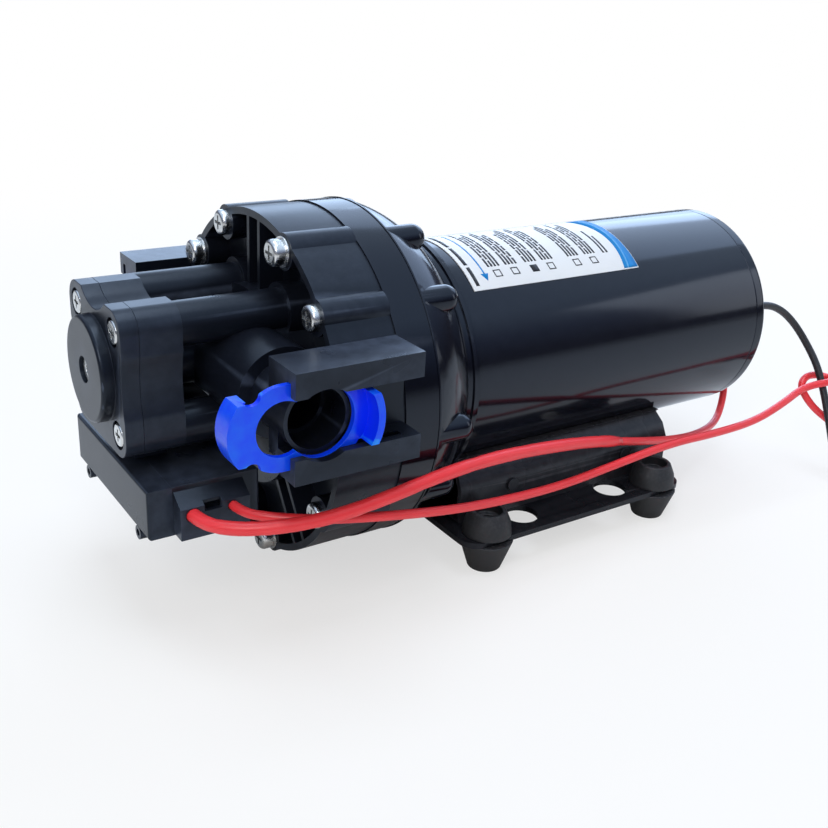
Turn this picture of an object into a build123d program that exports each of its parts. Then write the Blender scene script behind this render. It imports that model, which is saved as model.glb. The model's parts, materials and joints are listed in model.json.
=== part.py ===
from build123d import *
import os
from math import cos, pi, radians, sin, tan

# Diaphragm water pump with an electric motor, in millimetres.
# X runs along the pump axis, from the switch end (-X) to the motor's rear end (+X).
# The origin is the centre of the four feet, on the surface that the pump stands on.
# "Distance" below is measured along X from the seam between pump head and drive housing.

# Frame
shaft_height = 63.0
seam_x = -83.0

# General allowances
overrun = 1.0
running_clearance = 0.03
seat_clearance = 0.05
body_gap = 0.3

# Motor
motor_radius = 40.0
can_wall = 2.4
can_front = 22.0
can_rear = 176.4
motor_rear = 182.0
rear_edge_radius = 2.2
cap_spigot_length = 5.0
cap_spigot_wall = 3.0
shaft_radius = 4.0
shaft_end_chamfer = 0.5
shaft_front = 4.6
bush_radius = 6.0
bush_front = 166.5
bush_length = 9.5
bush_boss_wall = 3.0
magnet_gap = 0.8
magnet_front = 76.0
magnet_length = 66.0
magnet_arc = 128.0
core_radius = 29.6
core_front = 80.0
slot_count = 10
slot_depth = 11.0
slot_width = 5.2
slot_floor_gap = 0.2
winding_sink = 0.8
winding_overhang = 9.0
winding_inner_radius = 7.0
commutator_radius = 11.0
commutator_length = 13.0
commutator_room = 17.0
commutator_front = bush_front - commutator_room
winding_gap = 2.5
core_length = commutator_front - winding_gap - winding_overhang - core_front
segment_gap = 0.6
segment_depth = 1.2
brush_width = 5.0
brush_length = 7.0
brush_height = 10.0
brush_inset = 3.0
brush_distance = commutator_front + brush_inset
brush_wall = 1.0
brush_fit = 0.1
spring_radius = 2.2
spring_wall = 0.8
card_thickness = 2.0
card_hole_radius = 15.0
holder_reach = 32.0
holder_gap = 1.5

# Bearing between motor and drive housing
bearing_outer_radius = 11.0
bearing_width = 7.0
bearing_race_wall = 1.9
bearing_ball_radius = 1.9
bearing_ball_count = 8
bearing_front = 20.6

# Drive housing
housing_radius = 56.5
shoulder_start = 12.5
shoulder_middle = 24.0
shoulder_middle_radius = 51.3
shoulder_end = 32.5
collar_radius = 43.5
collar_end = 37.0
cavity_radius = 46.5
cavity_depth = 18.5
bearing_boss_radius = 15.0
bearing_boss_end = 29.0
housing_boss_radius = 4.4
housing_boss_end = 23.0
collar_line_width = 1.2
collar_line_height = 0.6
shoulder_line_distance = 12.5
shoulder_line_height = 0.25

# Screws of the pump head
bolt_circle = 52.0
pair_angle = 54.0
pair_spread = 13.5
screws_per_ring = 5
screw_shank_radius = 2.0
screw_head_radius = 4.1
screw_head_height = 2.8
screw_crown_radius = 1.4
recess_reach = 2.3
screw_length = 40.0
recess_width = 0.9
recess_depth = 1.3
flat_washer_radius = 4.7
flat_washer_thickness = 0.8
spring_washer_radius = 3.9
spring_washer_thickness = 1.1
spring_washer_split = 0.8

# Wobble drive
tilt_angle = 3.0
wobble_centre = 9.5
journal_radius = 7.5
journal_length = 9.0
cam_collar_radius = 9.6
cam_collar_length = 4.6
wobble_bearing_radius = 14.0
wobble_race_wall = 2.2
wobble_ball_radius = 1.0
wobble_ball_count = 16
plate_thickness = 5.0
plate_hub_radius = 18.0
plate_hub_length = 9.0
arm_width = 12.0
pad_radius = 9.0
chamber_count = 5
chamber_circle = 28.0
chamber_radius = 12.5
inner_boss_radius = 6.5
inner_boss_reach = 11.9
piston_radius = 7.7
piston_thickness = 2.2
piston_screw_radius = 1.5
piston_screw_head_radius = 3.0
piston_screw_head_height = 1.2
cone_inner_radius = 8.8
cone_wall = 0.9
cone_seam_lap = 0.8
cone_pad_radius = 9.6
diaphragm_radius = 48.0
diaphragm_sheet = 1.2
diaphragm_pad = 1.5
carrier_thickness = 3.0
carrier_seat_radius = 50.0
carrier_clearance = 0.2

# Valve plate and valves
valve_plate_front = 11.5
valve_plate_radius = 48.2
valve_plate_wall = 2.2
inlet_valve_circle = 27.3
inlet_valve_radius = 3.2
inlet_valve_thickness = 0.8
inlet_stem_radius = 0.9
inlet_bulb_radius = 1.5
inlet_bulb_length = 1.6
inlet_port_radius = 0.7
inlet_port_circle = 2.1
inlet_port_count = 5
outlet_port_circle = 18.6
outlet_port_radius = 1.2
outlet_port_spread = 9.0
outlet_valve_radius = 20.9
outlet_valve_thickness = 1.0
outlet_stem_radius = 1.6
outlet_stem_end = -6.0
seal_ring_radius = 0.9
seal_ring_circle = 45.5

# Pump head
head_cavity_radius = 48.5
head_web = 2.3
rim_radius = 56.0
rim_wall = 2.3
rim_front = 21.75
rim_boss_radius = 5.6
hub_radius = 32.5
hub_front = 25.0
hub_wall = 3.0
central_chamber_radius = 21.5
ring_chamber_inner = 24.0
ring_chamber_outer = 30.5
rib_thickness = 1.6
rib_pair_spacing = 7.2
port_distance = 32.0
port_height = 12.75
manifold_radius = 14.0
manifold_half_width = 40.0
port_radius = 10.2
port_bore_radius = 7.9
port_mouth_radius = 9.0
port_mouth_depth = 12.0
port_mouth = 60.0
inlet_bore_end = 14.0
outlet_bore_end = 5.0
ring_passage_radius = 3.0
ring_passage_offset = 24.0
centre_passage_radius = 4.5
centre_passage_offset = 6.0
switch_passage_radius = 3.0

# Clip rails at each port
rail_front = 41.5
rail_rear = 1.0
rail_inner = 55.5
rail_depth = 10.0
rail_outer = rail_inner + rail_depth
rail_height = 7.5
rail_gap = 17.5
clip_sink = 3.0
clip_face = rail_outer - clip_sink
clip_thickness = 1.8
clip_slot_gap = 0.25
clip_slot_height = 12.8
clip_slot_rear = 6.0
rail_notch_radius = 10.5
carrier_inner = 50.0
screw_access_radius = 4.9

# Port clips
clip_open_radius = 10.4
clip_lock_radius = 8.05
clip_travel = 11.4
clip_half_height = 12.5
clip_wing_radius = 14.0
clip_wing_reach = 27.6
clip_body_reach = 14.2
clip_tail_reach = 17.1
clip_tail_half_height = 7.65
clip_horn_half_height = 8.9
clip_grip_depth = 7.5
clip_flange_depth = 5.5
clip_flange_thickness = 2.2
clip_dent_radius = 2.6
clip_dent_depth = 0.7
clip_horn_width = 2.0

# Pressure switch block
block_rear = 54.3
block_body_depth = 12.6
block_cover_depth = 5.5
block_seam = block_rear + block_body_depth
block_front = block_seam + block_cover_depth
block_height = 13.5
block_screw_y = 15.5
block_screw_z = 15.6
lobe_radius = 6.7
valley_radius = 14.5
valley_depth = 4.0
waist_radius = 39.0
waist_depth = 1.3
tube_collar_radius = 8.3
tube_collar_front = 21.0
centre_tube_radius = 9.0
dial_height = 3.9
dial_front = block_front + dial_height
dial_radius = 16.1
dial_edge_radius = 1.2
dial_hole_radius = 4.0
dial_hole_depth = 3.2
cover_pocket_radius = 4.3
cover_pocket_depth = 2.2
cover_screw_radius = 1.6
cover_screw_head_radius = 3.6
cover_screw_head_height = 2.3
cover_screw_length = 30.0
cover_screw_crown = 0.8
cover_recess_reach = 1.9
switch_bore_radius = 6.6
switch_diaphragm_radius = 8.3
switch_diaphragm_thickness = 1.2
plunger_radius = 5.0
plunger_head_radius = 6.2
plunger_head_thickness = 1.6
plunger_travel = 1.2
plunger_arm_width = 5.0
plunger_arm_thickness = 1.8
plunger_arm_inset = 3.5
plunger_arm_distance = block_rear + switch_diaphragm_thickness + plunger_arm_inset
plunger_arm_end = -24.0
switch_spring_radius = 4.6
switch_spring_wall = 0.8
arm_slot_width = 6.2
spring_seat_inset = 1.9
spring_seat_distance = block_front - spring_seat_inset
spring_seat_thickness = 2.4
spring_seat_travel = 1.2
spring_seat_radius = 6.3
key_width = 2.0
key_reach = 7.6
adjuster_radius = 2.0
adjuster_head_radius = 3.6
adjuster_head_length = 2.2
adjuster_length = 9.0
adjuster_socket_radius = 1.3
adjuster_socket_depth = 1.6

# Microswitch box under the block
box_front = 70.5
box_seam = 63.0
box_rear = 35.4
box_half_width = 31.5
box_top = -14.0
box_bottom = -29.7
box_wall = 1.8
box_edge_radius = 1.0
neck_front_inset = 1.4
neck_rear_inset = 1.2
neck_front = block_seam - neck_front_inset
neck_rear = block_rear + neck_rear_inset
neck_half_width = 9.0
ear_radius = 2.2
ear_hole_radius = 1.1
ear_length = 4.5
ear_drop = 1.4
ear_y = 22.5
microswitch_depth = 6.6
microswitch_width = 20.0
microswitch_height = 8.0
microswitch_z = -21.5
button_size = 2.0
hood_front = 62.7
hood_rear = 41.0
hood_depth = 5.3
hood_outer = box_half_width + hood_depth
hood_top = -15.6
hood_bottom = -29.2
hood_slope = 3.6
hood_wall = 1.5
hood_window_width = 5.4
hood_window_height = 3.4
hood_window_distance = 52.6
hood_window_z = -19.4
tab_thickness = 0.8
tab_height = 6.0
tab_inner = 23.0
tab_outer = 33.0

# Stand
plate_front = 31.8
plate_rear = 134.2
plate_half_width = 52.3
stand_plate_top = -50.0
stand_plate_thickness = 2.0
plate_corner_radius = 7.0
foot_spacing_x = 79.4
foot_spacing_y = 91.6
foot_hole_radius = 5.0
lightening_radius = 6.2
lightening_spacing = 43.0
lightening_y = 42.0
cradle_front = 38.0
cradle_rear = 137.5
cradle_thickness = 2.0
cradle_web_y = 36.9
cradle_web_top = -37.5
cradle_shoulder_y = 34.2
cradle_shoulder_z = -32.6
cradle_touch_angle = 45.0
motor_fit = 0.05
cradle_inner_angle = 50.0
cradle_flange_width = 10.0
rivet_tab_width = 14.0
rivet_tab_height = 11.3
rivet_offset = 27.3
rivet_height = 10.0
rivet_radius = 1.5
rivet_head_radius = 2.4
rivet_head_height = 1.0

# Rubber feet
foot_base_radius = 5.8
foot_cone_radius = 9.5
foot_groove_clearance = 0.1
foot_dome_height = 4.5
foot_dome_radius = 8.7
foot_dome_waist = 8.0
foot_top_radius = 6.2
foot_top = -41.5
foot_recess_radius = 4.8
foot_recess_depth = 3.5
foot_bore_radius = 2.7

# Label
label_front = 44.6
label_rear = 119.5
label_low_angle = 48.0
label_high_angle = 98.5
label_thickness = 0.3

# Leads
sleeve_radius = 2.1
lead_radius = 1.5
lead_fit = 0.05
strand_radius = 0.9
stripped_length = 6.0
bend_share = 0.45
grommet_radius = 2.8
grommet_flange_radius = 3.4
grommet_flange_thickness = 1.2
red_entry_y = -16.0
red_entry_z = -27.0
black_entry_y = -33.3
black_entry_z = 8.8

# The thick red lead: from the switch hood along the near side to the motor's rear end.
# Points are (distance, y, height above the shaft), chosen by hand.
thick_red_route = [
    (-58.9, -33.0, -21.6), (-58.9, -42.0, -21.6), (-51.5, -50.5, -21.4), (-40.0, -57.0, -20.2),
    (-26.0, -61.0, -18.8), (-8.0, -62.0, -16.2), (12.0, -60.5, -14.2), (31.0, -58.5, -14.4),
    (52.0, -55.5, -16.8), (84.0, -50.5, -22.6), (116.0, -45.2, -31.9), (144.6, -38.4, -39.5),
    (167.2, -30.8, -44.2), (184.5, -22.8, -46.2), (192.2, -18.4, -40.6), (194.4, -16.2, -32.2),
    (187.6, -16.0, -27.0), (179.8, -16.0, -27.0),
]
sleeve_points = 10

# The thin red lead: beside the thick one, then out past the motor, once round the black lead.
thin_red_route = [
    (-46.5, -33.0, -21.4), (-46.5, -41.5, -21.4), (-40.0, -49.0, -21.2), (-29.0, -55.5, -21.6),
    (-14.0, -58.8, -23.2), (3.0, -59.0, -26.3), (22.0, -57.0, -30.4), (45.0, -54.0, -34.2),
    (70.0, -52.0, -36.1), (97.0, -52.0, -33.6), (122.0, -53.0, -30.6), (146.0, -54.0, -31.0),
    (168.0, -54.0, -30.4), (186.0, -52.5, -26.8), (198.0, -50.5, -24.0), (205.6, -51.6, -22.6),
    (210.8, -54.8, -21.2), (216.6, -53.8, -21.6), (218.8, -49.0, -22.6), (215.6, -44.6, -22.2),
    (210.4, -43.4, -22.8), (206.6, -44.8, -26.0), (207.4, -48.4, -30.4), (210.6, -51.6, -34.9),
    (215.0, -56.2, -39.0), (218.2, -60.8, -43.2),
]

# The black lead: out of the motor's rear end and down past the edge of the view.
black_route = [
    (178.2, -33.3, 8.8), (188.8, -33.3, 8.8), (198.8, -34.0, 5.2), (206.4, -36.2, -1.2),
    (210.6, -40.8, -9.0), (212.2, -46.8, -17.0), (212.2, -52.2, -26.4), (211.4, -57.6, -36.4),
    (210.9, -61.8, -45.4),
]

os.makedirs("parts", exist_ok=True)


def along(distance):
    """X position of a distance from the head seam."""
    return seam_x + distance


def cross_plane(distance):
    """Plane square to the pump axis: local x is +Y, local y is height above the shaft."""
    return Plane(origin=(along(distance), 0, shaft_height), x_dir=(0, 1, 0), z_dir=(1, 0, 0))


def side_plane(y):
    """Plane along the pump axis facing -Y: local x is the distance, local y the height."""
    return Plane(origin=(seam_x, y, shaft_height), x_dir=(1, 0, 0), z_dir=(0, -1, 0))


def floor_plane(z):
    """Level plane at a height above the shaft: local x is the distance, local y is Y."""
    return Plane(origin=(seam_x, 0, shaft_height + z))


def on_circle(radius, angle):
    """(y, z) on a circle about the shaft; the angle starts at -Y and turns towards +Z."""
    return (-radius * cos(radians(angle)), radius * sin(radians(angle)))


def bar(start, end, radius, at=(0, 0), mode=Mode.ADD):
    """Round bar along X between two distances."""
    with BuildSketch(cross_plane(start)) as profile:
        with Locations(at):
            Circle(radius)
    extrude(profile.sketch, amount=end - start, mode=mode)


def bars(start, end, radius, places, mode=Mode.ADD):
    """Equal round bars along X at several (y, z) places."""
    with BuildSketch(cross_plane(start)) as profile:
        with Locations(*places):
            Circle(radius)
    extrude(profile.sketch, amount=end - start, mode=mode)


def ring(start, end, outer, inner, at=(0, 0), mode=Mode.ADD):
    """Tube along X between two distances."""
    with BuildSketch(cross_plane(start)) as profile:
        with Locations(at):
            Circle(outer)
            Circle(inner, mode=Mode.SUBTRACT)
    extrude(profile.sketch, amount=end - start, mode=mode)


def block(distances, ys, heights, mode=Mode.ADD):
    """Square block from its low and high distance, y and height."""
    with BuildSketch(cross_plane(distances[0])) as profile:
        with Locations(((ys[0] + ys[1]) / 2, (heights[0] + heights[1]) / 2)):
            Rectangle(abs(ys[1] - ys[0]), heights[1] - heights[0])
    extrude(profile.sketch, amount=distances[1] - distances[0], mode=mode)


def place(distance, y, z):
    """Point in the part's frame."""
    return Vector(along(distance), y, shaft_height + z)


pump_axis = Axis((seam_x, 0, shaft_height), (1, 0, 0))

plain_angles = [pair_angle - pair_spread + 360 / screws_per_ring * k for k in range(screws_per_ring)]
washer_angles = [pair_angle + pair_spread + 360 / screws_per_ring * k for k in range(screws_per_ring)]
plain_places = [on_circle(bolt_circle, angle) for angle in plain_angles]
washer_places = [on_circle(bolt_circle, angle) for angle in washer_angles]
chamber_angles = [pair_angle + 180 / chamber_count + 360 / chamber_count * k for k in range(chamber_count)]

tilt = radians(tilt_angle)
wobble_normal = Vector(cos(tilt), 0, sin(tilt))
wobble_origin = place(wobble_centre, 0, 0)


def wobble_plane(offset):
    """Plane square to the tilted journal, at an offset along it from the wobble centre."""
    return Plane(origin=wobble_origin + wobble_normal * offset, x_dir=(0, 1, 0), z_dir=wobble_normal)


def tilted_bar(start, end, radius, places=((0, 0),), mode=Mode.ADD):
    """Round bars along the tilted journal between two offsets."""
    with BuildSketch(wobble_plane(start)) as profile:
        with Locations(*places):
            Circle(radius)
    extrude(profile.sketch, amount=end - start, mode=mode)


def tilted_ring(start, end, outer, inner, mode=Mode.ADD):
    """Tube along the tilted journal between two offsets."""
    with BuildSketch(wobble_plane(start)) as profile:
        Circle(outer)
        Circle(inner, mode=Mode.SUBTRACT)
    extrude(profile.sketch, amount=end - start, mode=mode)


# Motor can: a plain steel tube, open at both ends
can_bore = motor_radius - can_wall
with BuildPart() as motor_can:
    ring(can_front, can_rear, motor_radius, can_bore)

# Rear end cap with a spigot in the can, a boss for the bush and two lead holes
cap_front = can_rear - cap_spigot_length
bush_rear = bush_front + bush_length
lead_entries = [(red_entry_y, red_entry_z), (black_entry_y, black_entry_z)]
with BuildPart() as motor_end_cap:
    bar(can_rear, motor_rear, motor_radius)
    fillet(motor_end_cap.faces().sort_by(Axis.X)[-1].edges(), rear_edge_radius)
    ring(cap_front, can_rear, can_bore - seat_clearance, can_bore - cap_spigot_wall)
    bar(bush_front, can_rear, bush_radius + bush_boss_wall)
    bar(bush_front - overrun, bush_rear, bush_radius, mode=Mode.SUBTRACT)
    bars(cap_front, motor_rear + overrun, grommet_radius, lead_entries, mode=Mode.SUBTRACT)

with BuildPart() as rear_bush:
    ring(bush_front, bush_rear, bush_radius - seat_clearance, shaft_radius + running_clearance)

# Two arc magnets against the can
magnet_outer = can_bore - seat_clearance
magnet_inner = core_radius + magnet_gap
with BuildPart() as field_magnets:
    with BuildSketch(cross_plane(magnet_front)):
        Circle(magnet_outer)
        Circle(magnet_inner, mode=Mode.SUBTRACT)
        wedge_half = magnet_outer * tan(radians(90 - magnet_arc / 2))
        for side in (-1, 1):
            with BuildLine():
                Polyline((0, 0), (side * magnet_outer * 2, wedge_half * 2),
                         (side * magnet_outer * 2, -wedge_half * 2),
                         (0, 0))
            make_face(mode=Mode.SUBTRACT)
    extrude(amount=magnet_length)

# Armature: slotted iron core, copper windings through its slots, shaft
slot_floor = core_radius - slot_depth
with BuildPart() as armature_core:
    with BuildSketch(cross_plane(core_front)):
        Circle(core_radius)
        Circle(shaft_radius + seat_clearance, mode=Mode.SUBTRACT)
        with PolarLocations(slot_floor + slot_depth, slot_count):
            Rectangle(slot_depth * 2, slot_width, mode=Mode.SUBTRACT)
    extrude(amount=core_length)

winding_reach = core_radius - winding_sink
with BuildPart() as armature_windings:
    with BuildSketch(cross_plane(core_front - winding_overhang)):
        with PolarLocations((slot_floor + winding_reach) / 2, slot_count):
            Rectangle(winding_reach - slot_floor - slot_floor_gap, slot_width - slot_floor_gap * 2)
    extrude(amount=core_length + winding_overhang * 2)
    for start in (core_front - winding_overhang, core_front + core_length + slot_floor_gap):
        ring(start, start + winding_overhang - slot_floor_gap, winding_reach - slot_floor_gap,
             winding_inner_radius)

with BuildPart() as commutator:
    with BuildSketch(cross_plane(commutator_front)):
        Circle(commutator_radius)
        Circle(shaft_radius + seat_clearance, mode=Mode.SUBTRACT)
        with PolarLocations(commutator_radius, slot_count):
            Rectangle(segment_depth * 2, segment_gap, mode=Mode.SUBTRACT)
    extrude(amount=commutator_length)

shaft_rear = bush_rear - overrun
with BuildPart() as motor_shaft:
    bar(shaft_front, shaft_rear, shaft_radius)
    chamfer(motor_shaft.edges().filter_by(GeomType.CIRCLE), shaft_end_chamfer)

# Brushes in their holders on a card that sits in the can
brush_top = commutator_radius + seat_clearance + brush_height
card_front = brush_distance + brush_length + brush_fit + brush_wall
brush_x = (brush_distance, brush_distance + brush_length)
with BuildPart() as brush_card:
    ring(card_front, card_front + card_thickness, can_bore - seat_clearance, card_hole_radius)
    for side in (-1, 1):
        heights = sorted((side * (commutator_radius + holder_gap), side * holder_reach))
        inner = sorted((side * (commutator_radius + overrun / 2), side * (holder_reach - brush_wall)))
        block((brush_x[0] - brush_fit - brush_wall, card_front), (-brush_width / 2 - brush_fit - brush_wall,
              brush_width / 2 + brush_fit + brush_wall), heights)
        block((brush_x[0] - brush_fit, brush_x[1] + brush_fit), (-brush_width / 2 - brush_fit,
              brush_width / 2 + brush_fit), inner, mode=Mode.SUBTRACT)


def brush(side):
    """Carbon brush pressed on the commutator from above (+1) or below (-1)."""
    with BuildPart() as body:
        heights = sorted((side * (commutator_radius + seat_clearance), side * brush_top))
        block(brush_x, (-brush_width / 2, brush_width / 2), heights)
    return body


upper_brush = brush(1)
lower_brush = brush(-1)

# Springs between the brushes and their holders' caps, as plain tubes
spring_length = holder_reach - brush_wall - brush_top - seat_clearance
with BuildPart() as brush_springs:
    for side in (-1, 1):
        with BuildSketch(floor_plane(side * brush_top)) as spring_section:
            with Locations(((brush_x[0] + brush_x[1]) / 2, 0)):
                Circle(spring_radius)
                Circle(spring_radius - spring_wall, mode=Mode.SUBTRACT)
        extrude(spring_section.sketch, amount=side * spring_length)

# Front ball bearing of the motor shaft
bearing_rear = bearing_front + bearing_width
race_inner_outer = shaft_radius + bearing_race_wall
race_outer_inner = bearing_outer_radius - bearing_race_wall
ball_circle = (race_inner_outer + race_outer_inner) / 2
ball_groove_radius = bearing_ball_radius + running_clearance
ball_distance = (bearing_front + bearing_rear) / 2


def groove(distance, circle, radius):
    """Ring groove of round section about the pump axis."""
    with BuildSketch(side_plane(0)) as profile:
        with Locations((distance, circle)):
            Circle(radius)
    revolve(profile.sketch, axis=pump_axis, mode=Mode.SUBTRACT)


with BuildPart() as front_bearing_outer_ring:
    ring(bearing_front, bearing_rear, bearing_outer_radius - seat_clearance, race_outer_inner)
    groove(ball_distance, ball_circle, ball_groove_radius)

with BuildPart() as front_bearing_inner_ring:
    ring(bearing_front, bearing_rear, race_inner_outer, shaft_radius + running_clearance)
    groove(ball_distance, ball_circle, ball_groove_radius)

with BuildPart() as front_bearing_balls:
    with Locations(cross_plane(ball_distance)):
        with PolarLocations(ball_circle, bearing_ball_count):
            Sphere(bearing_ball_radius)

# Drive housing: bell from the seam to the collar that holds the motor can
with BuildPart() as drive_housing:
    with BuildSketch(side_plane(0)):
        with BuildLine():
            Polyline((collar_end, collar_radius), (collar_end, 0), (0, 0), (0, housing_radius),
                     (shoulder_start, housing_radius))
            ThreePointArc((shoulder_start, housing_radius), (shoulder_middle, shoulder_middle_radius),
                          (shoulder_end, collar_radius))
            Line((shoulder_end, collar_radius), (collar_end, collar_radius))
        make_face()
    revolve(axis=pump_axis)
    bars(0, housing_boss_end, housing_boss_radius, plain_places + washer_places)
    with Locations(*[place(housing_boss_end, y, z) for y, z in plain_places + washer_places]):
        Sphere(housing_boss_radius)
    bar(0, cavity_depth, cavity_radius, mode=Mode.SUBTRACT)
    bar(0, carrier_thickness, carrier_seat_radius, mode=Mode.SUBTRACT)
    bars(0, carrier_thickness, housing_boss_radius, plain_places + washer_places)
    bar(can_front, collar_end + overrun, motor_radius + seat_clearance, mode=Mode.SUBTRACT)
    bar(can_front, bearing_boss_end, bearing_boss_radius)
    bar(bearing_front, bearing_boss_end + overrun, bearing_outer_radius, mode=Mode.SUBTRACT)
    bar(cavity_depth - overrun, bearing_front + overrun, race_outer_inner - running_clearance,
        mode=Mode.SUBTRACT)
    bars(-overrun, screw_length - rim_front + overrun, screw_shank_radius + seat_clearance,
         plain_places + washer_places, mode=Mode.SUBTRACT)
    ring(collar_end - collar_line_width * 2, collar_end - collar_line_width,
         collar_radius + collar_line_height,
         collar_radius - collar_line_height)
    ring(shoulder_line_distance - shoulder_line_height * 2, shoulder_line_distance,
         housing_radius + shoulder_line_height, housing_radius - shoulder_line_height)

# Tilted cam that drives the wobble plate
cam_front = -journal_length / 2
cam_rear = journal_length / 2
with BuildPart() as wobble_cam:
    tilted_bar(cam_front, cam_rear, journal_radius)
    tilted_bar(cam_rear, cam_rear + cam_collar_length, cam_collar_radius)
    bar(0, cavity_depth, shaft_radius + running_clearance, mode=Mode.SUBTRACT)
    cam_limit = cavity_depth - body_gap * 2
    block((cam_limit, cam_limit + cam_collar_length), (-cam_collar_radius * 2, cam_collar_radius * 2),
          (-cam_collar_radius * 2, cam_collar_radius * 2), mode=Mode.SUBTRACT)

# Ball bearing between cam and wobble plate
wobble_inner_race = journal_radius + wobble_race_wall
wobble_outer_race = wobble_bearing_radius - wobble_race_wall
wobble_ball_circle = (wobble_inner_race + wobble_outer_race) / 2


def tilted_groove(circle, radius):
    """Ring groove of round section about the tilted journal."""
    section = Plane(origin=wobble_origin, x_dir=wobble_normal, z_dir=(0, -1, 0))
    with BuildSketch(section) as profile:
        with Locations((0, circle)):
            Circle(radius)
    revolve(profile.sketch, axis=Axis(wobble_origin, wobble_normal), mode=Mode.SUBTRACT)


with BuildPart() as wobble_bearing_inner_ring:
    tilted_ring(cam_front, cam_rear, wobble_inner_race, journal_radius + seat_clearance)
    tilted_groove(wobble_ball_circle, wobble_ball_radius + running_clearance)

with BuildPart() as wobble_bearing_outer_ring:
    tilted_ring(cam_front, cam_rear, wobble_bearing_radius - seat_clearance, wobble_outer_race)
    tilted_groove(wobble_ball_circle, wobble_ball_radius + running_clearance)

with BuildPart() as wobble_bearing_balls:
    with Locations(wobble_plane(0)):
        with PolarLocations(wobble_ball_circle, wobble_ball_count):
            Sphere(wobble_ball_radius)

# Wobble plate: hub round the bearing, five arms and a forward boss on each
plate_front_offset = -plate_thickness / 2
chamber_places = [on_circle(chamber_circle, angle) for angle in chamber_angles]
with BuildPart() as wobble_plate:
    tilted_bar(-plate_hub_length / 2, plate_hub_length / 2, plate_hub_radius)
    with BuildSketch(wobble_plane(plate_front_offset)):
        for angle in chamber_angles:
            with Locations(Location(on_circle(chamber_circle / 2, angle), 180 - angle)):
                Rectangle(chamber_circle, arm_width)
        with Locations(*chamber_places):
            Circle(pad_radius)
    extrude(amount=plate_thickness)
    tilted_bar(-inner_boss_reach, plate_front_offset, inner_boss_radius, chamber_places)
    tilted_bar(-plate_hub_length, plate_hub_length, wobble_bearing_radius, mode=Mode.SUBTRACT)
    tilted_bar(-inner_boss_reach - overrun, plate_front_offset + plate_thickness - overrun,
               piston_screw_radius + seat_clearance, chamber_places, mode=Mode.SUBTRACT)

# Pistons in front of the diaphragm, each held by a screw into the wobble plate
piston_rear = -inner_boss_reach - diaphragm_pad
piston_front = piston_rear - piston_thickness
with BuildPart() as pistons:
    tilted_bar(piston_front, piston_rear, piston_radius, chamber_places)
    tilted_bar(piston_front, piston_front + piston_screw_head_height,
               piston_screw_head_radius + seat_clearance, chamber_places, mode=Mode.SUBTRACT)
    tilted_bar(piston_front, piston_rear, piston_screw_radius + seat_clearance, chamber_places,
               mode=Mode.SUBTRACT)

with BuildPart() as piston_screws:
    tilted_bar(piston_front, piston_front + piston_screw_head_height, piston_screw_head_radius,
               chamber_places)
    tilted_bar(piston_front, plate_front_offset, piston_screw_radius, chamber_places)

# Diaphragm: flat sheet with five cones, each to a pad that follows its piston
pad_middle = -inner_boss_reach - diaphragm_pad / 2
with BuildPart() as diaphragm:
    bar(-diaphragm_sheet, 0, diaphragm_radius)
    bars(-diaphragm_sheet, 0, chamber_radius, chamber_places, mode=Mode.SUBTRACT)
    for y, z in chamber_places:
        cone_start = wobble_plane(pad_middle).from_local_coords(Vector(y, z, 0)).X - seam_x
        cone_plane = Plane(origin=place(0, y, z), x_dir=(1, 0, 0), z_dir=(0, -1, 0))
        with BuildSketch(cone_plane):
            with BuildLine():
                Polyline((cone_start - cone_wall / 2, cone_inner_radius),
                         (cone_start + cone_wall / 2, cone_inner_radius),
                         (0, chamber_radius + cone_seam_lap),
                         (-diaphragm_sheet, chamber_radius + cone_seam_lap),
                         (-diaphragm_sheet, chamber_radius - seat_clearance), close=True)
            make_face()
        revolve(axis=Axis(place(0, y, z), (1, 0, 0)))
    tilted_bar(piston_rear, -inner_boss_reach, cone_pad_radius, chamber_places)
    tilted_bar(piston_rear - overrun, overrun - inner_boss_reach, piston_screw_radius + seat_clearance,
               chamber_places, mode=Mode.SUBTRACT)

# Carrier behind the diaphragm, with a hole for each piston
with BuildPart() as diaphragm_carrier:
    bar(0, carrier_thickness, carrier_seat_radius - carrier_clearance)
    bars(0, carrier_thickness, chamber_radius, chamber_places, mode=Mode.SUBTRACT)
    bars(0, carrier_thickness, housing_boss_radius + carrier_clearance, plain_places + washer_places,
         mode=Mode.SUBTRACT)
    bar(0, carrier_thickness, chamber_circle - chamber_radius - carrier_thickness, mode=Mode.SUBTRACT)

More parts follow.
